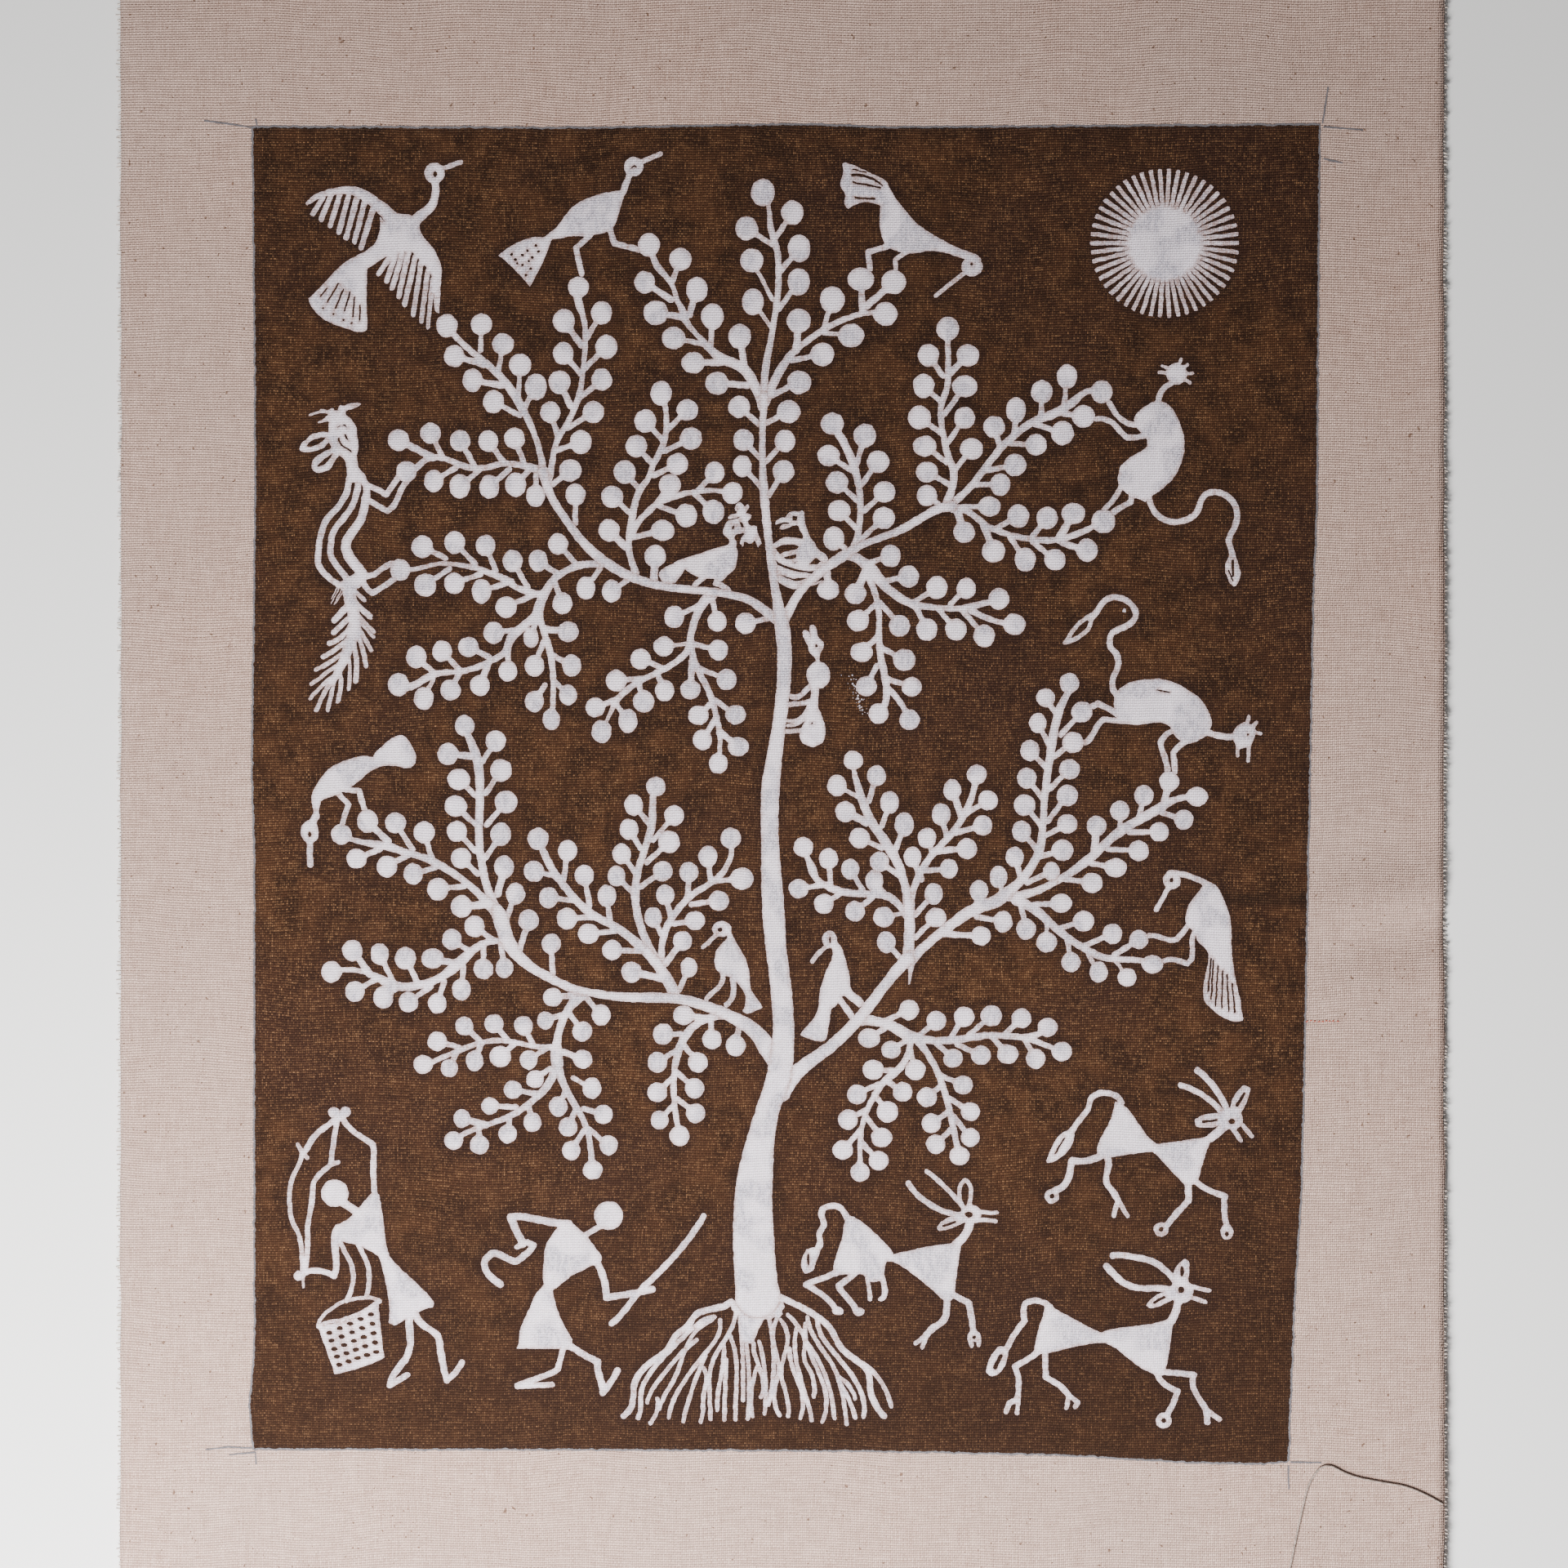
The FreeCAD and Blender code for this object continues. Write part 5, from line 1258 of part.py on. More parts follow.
film("near_antelope",
    marks=[
        shape((42.7, -107.2), (41.1, -107.1), (39.4, -109.6), (38.7, -112), (39.6, -112.8),
              (41.5, -112), (42.7, -110), (43, -107.6)),
        line(1.1, (51, -99.6), (49.6, -98.7), (47.9, -98.4), (46.2, -98.9), (45.9, -100.4),
              (46.2, -102.1), (44.9, -103.8), (43.8, -105.5), (42.7, -107.6)),
        shape((50, -98.7), (51.4, -99.6), (54.1, -101.1), (56.8, -102.6), (60.9, -104.5),
              (61, -106.4), (56.8, -106.9), (53.4, -107.7), (50.3, -108.4), (47.9, -108.3),
              (48.3, -106.2), (48.9, -103.5), (49.8, -100.4)),
        shape((60.3, -104.6), (66.3, -103.3), (72.4, -102.3), (74.3, -101.5), (74.3, -103.2),
              (73.8, -107.2), (72.9, -111.3), (72.4, -112.7), (70.4, -112.2), (68, -111),
              (64.6, -108.3), (60.4, -106.2)),
        line(1.5, (73.4, -103), (74.8, -100.8), (75.3, -98.3)), spot(76, -96.6, 4.4, 4.6),
        line(1.2, (62.9, -89.8), (64.6, -89.7), (67, -90.1), (69.7, -90.6), (72.1, -91.9),
              (74.9, -94.9)),
        line(1.3, (61.7, -91.8), (63.6, -93.8), (65.6, -95.3), (68.3, -96), (71.1, -96),
              (74.2, -96.4)),
        shape((74.4, -95), (75, -91.9), (76.7, -90.4), (77.5, -90.9), (77.3, -95)),
        shape((74.2, -96.7), (71.1, -97.4), (69.3, -99.4), (70, -99.9), (72.4, -99.2), (74.6, -98)),
        line(0.8, (77.5, -95.6), (81.3, -96.5)), line(0.8, (77.6, -97.7), (80.6, -98.6)),
        line(1.1, (49.3, -107.8), (46.6, -109.6), (44.2, -111)),
        line(1.1, (44.2, -111), (44.9, -113), (45, -115), (44.7, -117.4)),
        line(1, (44.6, -117.3), (43.2, -117.9), (42.6, -119.6)),
        line(0.9, (44.9, -117.4), (44.7, -119.8)), line(1.1, (50.1, -107.8), (50.1, -113)),
        line(1.1, (50.1, -113), (52, -114), (53.7, -115.4), (54.8, -116.7)),
        line(0.9, (54.5, -116.4), (54.1, -118.8)),
        line(0.9, (55, -116.7), (56.3, -117.8), (55.8, -118.6)),
        line(1.1, (71.1, -111.8), (72.4, -113.9), (75.3, -115.6)),
        line(1.1, (75.3, -115.6), (74.6, -117.4), (73.3, -120.2)), spot(72.6, -121.2, 3, 3),
        line(1.1, (72.4, -112), (75.5, -112.2), (78.4, -112.5)),
        line(1.1, (78.4, -112.5), (78.2, -114.7), (79.4, -117.1), (80.7, -119.3)),
        line(1.2, (80.7, -119.3), (80.9, -121.5)), line(1, (80.8, -119.2), (83.2, -121)),
    ],
    gaps=[
        line(0.8, (41.6, -108.9), (40.5, -111.2)), spot(75.9, -96.3, 1.3, 1.3),
        spot(76.1, -92.8, 0.8, 2.2), line(0.5, (70.7, -98.8), (72.8, -97.7)), spot(72.6, -121.2, 1, 1),
    ])

film("far_antelope",
    marks=[
        shape((71, -68.6), (79.9, -67.3), (82, -66.9), (81.4, -68.3), (79, -76), (76.7, -76.4),
              (70.4, -69.8)),
        shape((63.3, -60.4), (65.1, -61.3), (68, -64.9), (71.3, -68.5), (70.9, -69.9), (66.6, -70.4),
              (62.5, -71), (60.2, -71.2), (59.9, -69.6), (61.6, -65.6), (63.1, -61.8)),
        line(1.6, (84.3, -65.1), (81.6, -67.4)), line(0.9, (85.7, -65.4), (87.2, -67.8)),
        line(0.8, (87.4, -64.7), (89.4, -67.1)), line(1.1, (63.8, -61.2), (64.6, -60.6)),
        line(1.1, (64.6, -60.6), (63.4, -59.3), (61.9, -58.8), (59.9, -59), (58.7, -60), (58.1, -62),
              (57, -63.4), (55.9, -64.9), (55, -66.2)),
        shape((55.3, -65.8), (53.4, -66.3), (51.4, -68.8), (50.2, -71.9), (50.5, -72.2),
              (52.4, -71.5), (54.4, -69.8), (55.5, -67.6)),
        line(1.3, (60.6, -70.8), (57.8, -71.7), (55.1, -71.7)),
        line(1.3, (55.1, -71.7), (54.8, -73.6), (54.2, -75.6), (52, -77.3)), spot(51.3, -78.5, 2.8, 2.8),
        line(1.2, (61.5, -70.6), (61.9, -73.6), (61.7, -75.9), (62.4, -77), (63.8, -79.2)),
        line(0.9, (63.8, -79.3), (63.1, -82.2)), line(0.9, (63.9, -79.2), (65.7, -82.2)),
        line(1.3, (77.3, -75.6), (77.3, -79.3)), line(1.2, (77.3, -79.3), (75.1, -81.7), (73, -84.2)),
        spot(72.1, -84.8, 2.8, 2.8), line(1.1, (78.8, -75.8), (81.6, -77.5), (84.3, -78.4)),
        line(1.1, (84.3, -78.4), (84.1, -80.4), (84.6, -84)), spot(84.6, -85.3, 2.4, 3),
        spot(85.7, -63.7, 3.8, 4.2), line(1.2, (84.6, -62), (82.2, -57.7), (78.9, -54.4)),
        line(1.1, (83.6, -62.4), (80, -59.2), (75.8, -57.3)),
        shape((85.2, -62.6), (86, -59.3), (87.9, -57.3), (89.1, -57.8), (88.6, -60), (87.2, -62.8)),
        shape((84.4, -62.9), (80, -63.1), (78.5, -63.8), (78.7, -65.2), (81, -65.4), (84.2, -64.8)),
    ],
    gaps=[
        spot(85.6, -64.2, 1.3, 1.1), line(0.6, (86.5, -61.2), (87.9, -58.9)),
        line(0.5, (80, -64.3), (82.6, -64)), line(0.35, (53.7, -67.4), (51.9, -70.4)),
        spot(51.3, -78.5, 1, 1), spot(72.1, -84.8, 1, 1), spot(84.6, -85.7, 0.8, 1),
    ])


# The archer's basket is woven: rims, a body and rows of slots that follow its slant.
ROWS = 5
COLUMNS = 5
slot_w = dims.basket_slot_width
slot_h = dims.basket_slot_height
slots = []
for row in range(ROWS):
    for column in range(COLUMNS):
        across = (column + 0.75) / (COLUMNS + 0.5)
        down = (row + 0.9) / (ROWS + 0.8)
        top_x = -88.2 + 11.2 * across
        top_y = -103.8 + 5.1 * across
        foot_x = -85.2 + 9.4 * across
        foot_y = -112.3 + 3.0 * across
        slots.append(spot(top_x + (foot_x - top_x) * down, top_y + (foot_y - top_y) * down, slot_w, slot_h))
film("basket",
    marks=[
        shape((-88.2, -103.8), (-85.2, -112.3), (-80.5, -111.2), (-75.8, -109.3), (-77, -98.7),
              (-79.2, -100.4), (-81.3, -101.5), (-84, -102.4), (-87, -103)),
        line(0.7, (-88.4, -103.2), (-87.7, -101.5), (-85.7, -99.8), (-83.3, -98.4), (-80.9, -97.9),
             (-78.5, -97.8), (-76.6, -98.4)),
        line(0.7, (-88.2, -103.4), (-87, -102.6), (-84, -102), (-81.3, -101.1), (-79.2, -100.1),
             (-77.9, -99.1), (-76.6, -98.6)),
    ],
    gaps=slots)

# ---------------------------------------------------------------- sun
sun = doc.addObject("PartDesign::Body", "sun")
sun.Label = "sun"
sun_disc = body_sketch(sun, "sun_disc")
sun_disc.addGeometry(Part.Circle(Vector(0, 0, 0), Vector(0, 0, 1), dims.sun_disc_radius), False)
sun_disc.addConstraint(Sketcher.Constraint("Coincident", 0, 3, -1, 1))
index = sun_disc.addConstraint(Sketcher.Constraint("Radius", 0, dims.sun_disc_radius))
sun_disc.renameConstraint(index, "radius")
sun_disc.setExpression("Constraints.radius", "dims.sun_disc_radius")
pad(sun, sun_disc, "sun_disc_pad", "dims.paint_thickness")
sun_ray = body_sketch(sun, "sun_ray")
ray_half = dims.sun_ray_width / 2
ray_start = dims.sun_disc_radius - 1
polygon(sun_ray, [(ray_start, -ray_half), (dims.sun_ray_reach, -ray_half),
                  (dims.sun_ray_reach, ray_half), (ray_start, ray_half)])
for edge in (0, 2):
    sun_ray.addConstraint(Sketcher.Constraint("Horizontal", edge))
sun_ray.addConstraint(Sketcher.Constraint("Vertical", 3))
sun_ray.addConstraint(Sketcher.Constraint("Symmetric", 1, 1, 1, 2, -1))
size(sun_ray, "DistanceX", (-1, 1), (0, 1), "start", "dims.sun_disc_radius - 1")
size(sun_ray, "DistanceX", (-1, 1), (0, 2), "reach", "dims.sun_ray_reach")
size(sun_ray, "DistanceY", (1, 1), (1, 2), "width", "dims.sun_ray_width")
ray_pad = pad(sun, sun_ray, "sun_ray_pad", "dims.paint_thickness")
rays = sun.newObject("PartDesign::PolarPattern", "sun_rays")
rays.Originals = [ray_pad]
axis = [f for f in sun.Origin.OriginFeatures if f.Role == "Z_Axis"][0]
rays.Axis = (axis, [""])
rays.Angle = 360
rays.setExpression("Occurrences", "dims.sun_ray_count")
sun.Tip = rays
sun.Placement = Placement(Vector(dims.sun_center_x, dims.sun_center_y, EARTH_TOP), Rotation())
sun.setExpression("Placement.Base.x", "dims.sun_center_x")
sun.setExpression("Placement.Base.y", "dims.sun_center_y")
sun.setExpression("Placement.Base.z", "dims.cloth_thickness + dims.earth_thickness")

# ---------------------------------------------------------------- loose thread
# Straight runs joined by tangent arcs, lying on the cloth.
thread_radius = dims.thread_diameter / 2
thread_z = dims.cloth_thickness + thread_radius + 0.01
THREAD_ROUTE = [(125.6, -137.0), (120.3, -133.9), (114.0, -132.9), (107.8, -131.7), (103.3, -129.0),
                (100.3, -132.5), (98.9, -138.0), (97.4, -145.2), (96.0, -152.0)]
route = [Vector(x, y, thread_z) for x, y in THREAD_ROUTE]
edges = []
here = route[0]
for i in range(1, len(route) - 1):
    back = route[i - 1] - route[i]
    ahead = route[i + 1] - route[i]
    reach = 0.45 * min(back.Length, ahead.Length)
    half_turn = (math.pi - back.getAngle(ahead)) / 2
    radius = reach / math.tan(half_turn)
    entry = route[i] + back.normalize() * reach
    leave = route[i] + ahead.normalize() * reach
    inward = (back + ahead).normalize()
    middle = route[i] + inward * (radius / math.cos(half_turn) - radius)
    edges.append(Part.LineSegment(here, entry).toShape())
    edges.append(Part.Arc(entry, middle, leave).toShape())
    print("loose_thread bend %d radius %.2f mm" % (i, radius))
    here = leave
edges.append(Part.LineSegment(here, route[-1]).toShape())
spine = Part.Wire(edges)
section = Part.Wire(Part.Circle(route[0], route[1] - route[0], thread_radius).toShape())
tube = spine.makePipeShell([section], True, False)
thread = doc.addObject("Part::Feature", "loose_thread")
thread.Label = "loose_thread"
thread.Shape = tube
thread.Placement = Placement(Vector(0, 0, 0), Rotation())
doc.recompute()
expected = math.pi * thread_radius ** 2 * spine.Length
print("loose_thread length %.1f mm, volume %.3f, section x length %.3f mm3"
      % (spine.Length, thread.Shape.Volume, expected))

# ---------------------------------------------------------------- export
os.makedirs("parts", exist_ok=True)
for item in doc.Objects:
    if "Invalid" in item.State or "Error" in item.State:
        raise RuntimeError("%s did not build" % item.Label)
nodes = [item for item in doc.Objects if item.TypeId in ("PartDesign::Body", "Part::Feature")]
for node in nodes:
    solid = node.Shape
    if solid.isNull() or not solid.isValid():
        raise RuntimeError("%s has no valid shape" % node.Label)
    solid.exportStep("parts/%s.step" % node.Label)
    print("%s: %d solids, %.2f mm3" % (node.Label, len(solid.Solids), solid.Volume))
print("%d nodes" % len(nodes))
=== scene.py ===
import math
import random
import bpy
import numpy as np
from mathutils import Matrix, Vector, kdtree, noise
from mathutils.geometry import delaunay_2d_cdt


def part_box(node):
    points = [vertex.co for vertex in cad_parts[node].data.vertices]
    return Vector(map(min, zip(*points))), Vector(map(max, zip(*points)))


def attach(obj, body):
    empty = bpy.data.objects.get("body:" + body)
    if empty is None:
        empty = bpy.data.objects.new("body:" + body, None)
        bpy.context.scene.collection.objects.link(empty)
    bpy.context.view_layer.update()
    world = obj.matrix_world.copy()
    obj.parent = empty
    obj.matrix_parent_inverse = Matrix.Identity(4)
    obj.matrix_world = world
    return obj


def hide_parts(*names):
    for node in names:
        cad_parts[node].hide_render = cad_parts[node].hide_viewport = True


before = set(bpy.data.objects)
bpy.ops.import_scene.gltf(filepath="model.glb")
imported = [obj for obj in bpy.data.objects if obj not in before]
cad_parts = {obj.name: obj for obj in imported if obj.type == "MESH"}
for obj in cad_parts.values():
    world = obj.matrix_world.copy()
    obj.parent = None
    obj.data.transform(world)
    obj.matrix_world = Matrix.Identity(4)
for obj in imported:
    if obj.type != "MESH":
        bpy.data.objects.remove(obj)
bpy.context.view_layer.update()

# The painted cloth, in metres, as packed: +X right, +Y the painting's top, +Z the painted face.
MM = 0.001
SEED = 7
rng = random.Random(SEED)
noise.seed_set(SEED)               # unseeded, Blender's vector noise follows the clock

CLOTH_LOW, CLOTH_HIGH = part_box("cotton_cloth")
HALF_X = CLOTH_HIGH.x / MM
HALF_Y = CLOTH_HIGH.y / MM
THICK = (CLOTH_HIGH.z - CLOTH_LOW.z) / MM
EARTH_LIFT = 0.07                  # mm, earth wash above the cloth
PAINT_LIFT = 0.15                  # mm, crown of the white paint above the cloth
RIM_LIFT = 0.085                   # mm, the paint's thin rim


def rest_height(x, y):
    """Height in mm of the cloth's underside: it lies nearly flat, with faint waves."""
    wave = 0.30 * math.sin(x / 41 + y / 63 + 0.6) + 0.22 * math.sin(y / 37 - x / 83 + 1.9)
    wave += 0.12 * math.sin(x / 17 + 0.4) * math.sin(y / 23)
    margin = math.exp(-((x - 118) / 17) ** 2 - ((y + 25) / 11) ** 2)
    wave += 0.75 * margin * math.sin((y + 25 - 0.25 * (x - 118)) / 3.4)
    corner = math.exp(-((x + 122) / 16) ** 2 - ((y - 146) / 18) ** 2)
    return max(0.0, 0.75 + wave + 0.7 * corner)


def top(x, y, lift=0.0):
    """A point on the cloth's upper side, in metres; x, y and lift in mm."""
    return (x * MM, y * MM, (rest_height(x, y) + THICK + lift) * MM)


# ---------------------------------------------------------------- materials
class Nodes:
    """Short calls for building one material's node tree."""

    def __init__(self, name):
        self.material = bpy.data.materials.new(name)
        self.material.use_nodes = True
        self.tree = self.material.node_tree
        self.tree.nodes.clear()
        self.out = self.tree.nodes.new("ShaderNodeOutputMaterial")
        self.shader = self.tree.nodes.new("ShaderNodeBsdfPrincipled")
        self.tree.links.new(self.shader.outputs[0], self.out.inputs[0])
        coords = self.tree.nodes.new("ShaderNodeTexCoord")
        scale = self.tree.nodes.new("ShaderNodeVectorMath")
        scale.operation = "MULTIPLY"
        scale.inputs[1].default_value = (1 / MM, 1 / MM, 1 / MM)
        self.tree.links.new(coords.outputs["Object"], scale.inputs[0])
        self.place = scale.outputs[0]          # object position in mm

    def plug(self, socket, value):
        if isinstance(value, bpy.types.NodeSocket):
            self.tree.links.new(value, socket)
        else:
            socket.default_value = value

    def math(self, operation, a, b=0.0, c=0.0):
        node = self.tree.nodes.new("ShaderNodeMath")
        node.operation = operation
        for socket, value in zip(node.inputs, (a, b, c)):
            self.plug(socket, value)
        return node.outputs[0]

    def split(self, vector):
        node = self.tree.nodes.new("ShaderNodeSeparateXYZ")
        self.plug(node.inputs[0], vector)
        return node.outputs[0], node.outputs[1], node.outputs[2]

    def join(self, x, y, z=0.0):
        node = self.tree.nodes.new("ShaderNodeCombineXYZ")
        for socket, value in zip(node.inputs, (x, y, z)):
            self.plug(socket, value)
        return node.outputs[0]

    def noise(self, scale, detail=2.0, vector=None, stretch=None, seed=0.0):
        place = self.place if vector is None else vector
        if stretch is not None:
            node = self.tree.nodes.new("ShaderNodeVectorMath")
            node.operation = "MULTIPLY"
            self.plug(node.inputs[0], place)
            node.inputs[1].default_value = stretch
            place = node.outputs[0]
        texture = self.tree.nodes.new("ShaderNodeTexNoise")
        texture.noise_dimensions = "4D"
        self.plug(texture.inputs["Vector"], place)
        texture.inputs["W"].default_value = seed
        texture.inputs["Scale"].default_value = scale
        texture.inputs["Detail"].default_value = detail
        texture.inputs["Roughness"].default_value = 0.55
        return texture.outputs[0]

    def ramp(self, value, low, high, to_low=0.0, to_high=1.0):
        node = self.tree.nodes.new("ShaderNodeMapRange")
        node.clamp = True
        for socket, v in zip(node.inputs, (value, low, high, to_low, to_high)):
            self.plug(socket, v)
        return node.outputs[0]

    def mix(self, factor, a, b):
        node = self.tree.nodes.new("ShaderNodeMix")
        node.data_type = "RGBA"
        self.plug(node.inputs[0], factor)
        self.plug(node.inputs[6], a if isinstance(a, bpy.types.NodeSocket) else (*a, 1.0))
        self.plug(node.inputs[7], b if isinstance(b, bpy.types.NodeSocket) else (*b, 1.0))
        return node.outputs[2]

    def attribute(self, name):
        node = self.tree.nodes.new("ShaderNodeAttribute")
        node.attribute_name = name
        return node.outputs["Fac"]

    def weave(self, pitch_x=0.36, pitch_y=0.485):
        """Plain weave: height of the threads, and a tone for each warp and weft thread."""
        x, y, _ = self.split(self.place)
        drift_x = self.math("MULTIPLY_ADD", self.noise(0.035, 1.0, seed=3.1), 3.0, x)
        drift_y = self.math("MULTIPLY_ADD", self.noise(0.035, 1.0, seed=8.4), 3.0, y)
        wobble = self.noise(0.9, 1.0, seed=5.0)
        u = self.math("MULTIPLY_ADD", wobble, 0.35, self.math("DIVIDE", drift_x, pitch_x))
        v = self.math("MULTIPLY_ADD", wobble, 0.35, self.math("DIVIDE", drift_y, pitch_y))
        row_u = self.math("FLOOR", u)
        row_v = self.math("FLOOR", v)
        across_u = self.math("SINE", self.math("MULTIPLY", self.math("FRACT", u), math.pi))
        across_v = self.math("SINE", self.math("MULTIPLY", self.math("FRACT", v), math.pi))
        checks = self.math("MODULO", self.math("ABSOLUTE", self.math("ADD", row_u, row_v)), 2.0)
        over = self.math("GREATER_THAN", checks, 0.5)
        warp = self.math("MULTIPLY", across_u, self.math("MULTIPLY_ADD", over, 0.55, 0.45))
        under = self.math("SUBTRACT", 1.0, over)
        weft = self.math("MULTIPLY", across_v, self.math("MULTIPLY_ADD", under, 0.55, 0.45))
        height = self.math("MULTIPLY", self.math("MAXIMUM", warp, weft),
                           self.math("MULTIPLY_ADD", self.math("MULTIPLY", across_u, across_v), 0.4, 0.6))
        slow_y = self.math("MULTIPLY", y, 0.24)
        slow_x = self.math("MULTIPLY", x, 0.24)
        tone_u = self.noise(1.0, 1.0, self.join(self.math("MULTIPLY", row_u, 1.73), slow_y), seed=1.0)
        tone_v = self.noise(1.0, 1.0, self.join(slow_x, self.math("MULTIPLY", row_v, 1.73)), seed=2.0)
        tone = self.math("MULTIPLY_ADD", self.math("SUBTRACT", tone_u, tone_v), over, tone_v)
        return height, tone

    def bump(self, height, strength, distance):
        node = self.tree.nodes.new("ShaderNodeBump")
        node.inputs["Strength"].default_value = strength
        node.inputs["Distance"].default_value = distance
        self.plug(node.inputs["Height"], height)
        self.tree.links.new(node.outputs[0], self.shader.inputs["Normal"])

    def finish(self, color, roughness=0.95, sheen=0.0, specular=0.15):
        self.plug(self.shader.inputs["Base Color"], color)
        self.plug(self.shader.inputs["Roughness"], roughness)
        self.shader.inputs["Specular IOR Level"].default_value = specular
        self.shader.inputs["Sheen Weight"].default_value = sheen
        return self.material


def cotton_material():
    """Pinkish plain weave with grey patches, seed flecks and a few dark strands, and painted shade between
    the threads.
    """
    dark_thread, light_thread = (0.42, 0.262, 0.208), (0.77, 0.538, 0.455)
    # painted shade: the dark colour put into the gaps between the threads
    shade_between_threads = (0.17, 0.11, 0.085)
    grey_patch = (0.42, 0.35, 0.33)
    dim_dot = (0.33, 0.235, 0.195)
    seed_fleck = (0.11, 0.055, 0.03)
    dark_strand = (0.25, 0.17, 0.12)
    n = Nodes("unbleached_cotton")
    height, tone = n.weave()
    color = n.mix(n.ramp(tone, 0.27, 0.73), dark_thread, light_thread)
    # painted shade in the low places between the threads
    color = n.mix(n.ramp(height, 0.1, 0.7), n.mix(0.72, color, shade_between_threads), color)
    patch = n.noise(0.02, 3.0, seed=4.0)
    color = n.mix(n.ramp(patch, 0.35, 0.65, 0.0, 0.16), color, grey_patch)
    dots = n.noise(1.9, 2.0, seed=12.0)
    color = n.mix(n.ramp(dots, 0.50, 0.66, 0.0, 0.42), color, dim_dot)
    fleck = n.noise(1.5, 0.0, seed=11.0)
    color = n.mix(n.ramp(fleck, 0.80, 0.815, 0.0, 0.8), color, seed_fleck)
    strand = n.noise(1.0, 1.0, stretch=(2.2, 0.35, 1.0), seed=12.0)
    color = n.mix(n.ramp(strand, 0.73, 0.78, 0.0, 0.45), color, dark_strand)
    n.bump(height, 0.7, 0.00022)
    return n.finish(color, 0.95, 0.12)


def earth_material():
    """Earth brushed over the weave: cloudy, darker near the paint, with thread tops showing, painted shade
    between the threads and painted shade along a fold line.
    """
    dark_earth, light_earth = (0.022, 0.0082, 0.0033), (0.053, 0.0210, 0.0087)
    cloud = (0.026, 0.010, 0.006)
    foot = (0.020, 0.0078, 0.0035)
    thread_top = (0.27, 0.138, 0.064)
    # painted shade for the gaps between the threads
    shade_between_threads = (0.016, 0.007, 0.005)
    # painted shade for a fold line across the panel
    crease_shade = (0.014, 0.006, 0.003)
    by_paint = (0.015, 0.006, 0.005)
    by_rim = (0.014, 0.0085, 0.008)
    fold_y, fold_sway, fold_start, fold_full = 20.9, 2.4, 62.0, 84.0      # mm
    n = Nodes("brown_earth_wash")
    height, tone = n.weave()
    x, y, _ = n.split(n.place)
    broad = n.noise(0.028, 4.0, seed=21.0)
    middle = n.noise(0.22, 3.0, seed=22.0)
    fine = n.noise(1.6, 2.0, seed=23.0)
    color = n.mix(n.ramp(middle, 0.38, 0.63), dark_earth, light_earth)
    color = n.mix(n.ramp(broad, 0.46, 0.64, 0.0, 0.72), color, cloud)
    color = n.mix(n.ramp(y, -55.0, -120.0, 0.0, 0.68), color, foot)
    thin = n.math("MULTIPLY", n.ramp(tone, 0.40, 0.70), n.ramp(fine, 0.40, 0.62))
    thin = n.math("MULTIPLY", thin, n.ramp(height, 0.35, 0.8))
    thin = n.math("MULTIPLY", thin, n.ramp(y, -45.0, -120.0, 0.85, 0.45))
    color = n.mix(thin, color, thread_top)
    # painted shade in the low places between the threads
    color = n.mix(n.ramp(height, 0.02, 0.5, 0.55, 0.0), color, shade_between_threads)
    # painted shade: a dark band along a fold line across the panel's right part
    band = n.math("ABSOLUTE", n.math("ADD", y, n.math("MULTIPLY_ADD", middle, fold_sway, fold_y)))
    fold_shade = n.math("MULTIPLY", n.ramp(band, 0.3, 1.5, 1.0, 0.0), n.ramp(x, fold_start, fold_full))
    color = n.mix(n.math("MULTIPLY", fold_shade, 0.62), color, crease_shade)
    close = n.math("MULTIPLY", n.attribute("near_paint"), n.ramp(fine, 0.25, 0.6, 0.5, 1.0))
    color = n.mix(n.math("MULTIPLY", close, 0.75), color, by_paint)
    rim = n.math("MULTIPLY", n.attribute("near_rim"), n.ramp(fine, 0.4, 0.6))
    color = n.mix(n.math("MULTIPLY", rim, 0.6), color, by_rim)
    n.bump(height, 0.65, 0.0002)
    return n.finish(color, 0.9, 0.03)


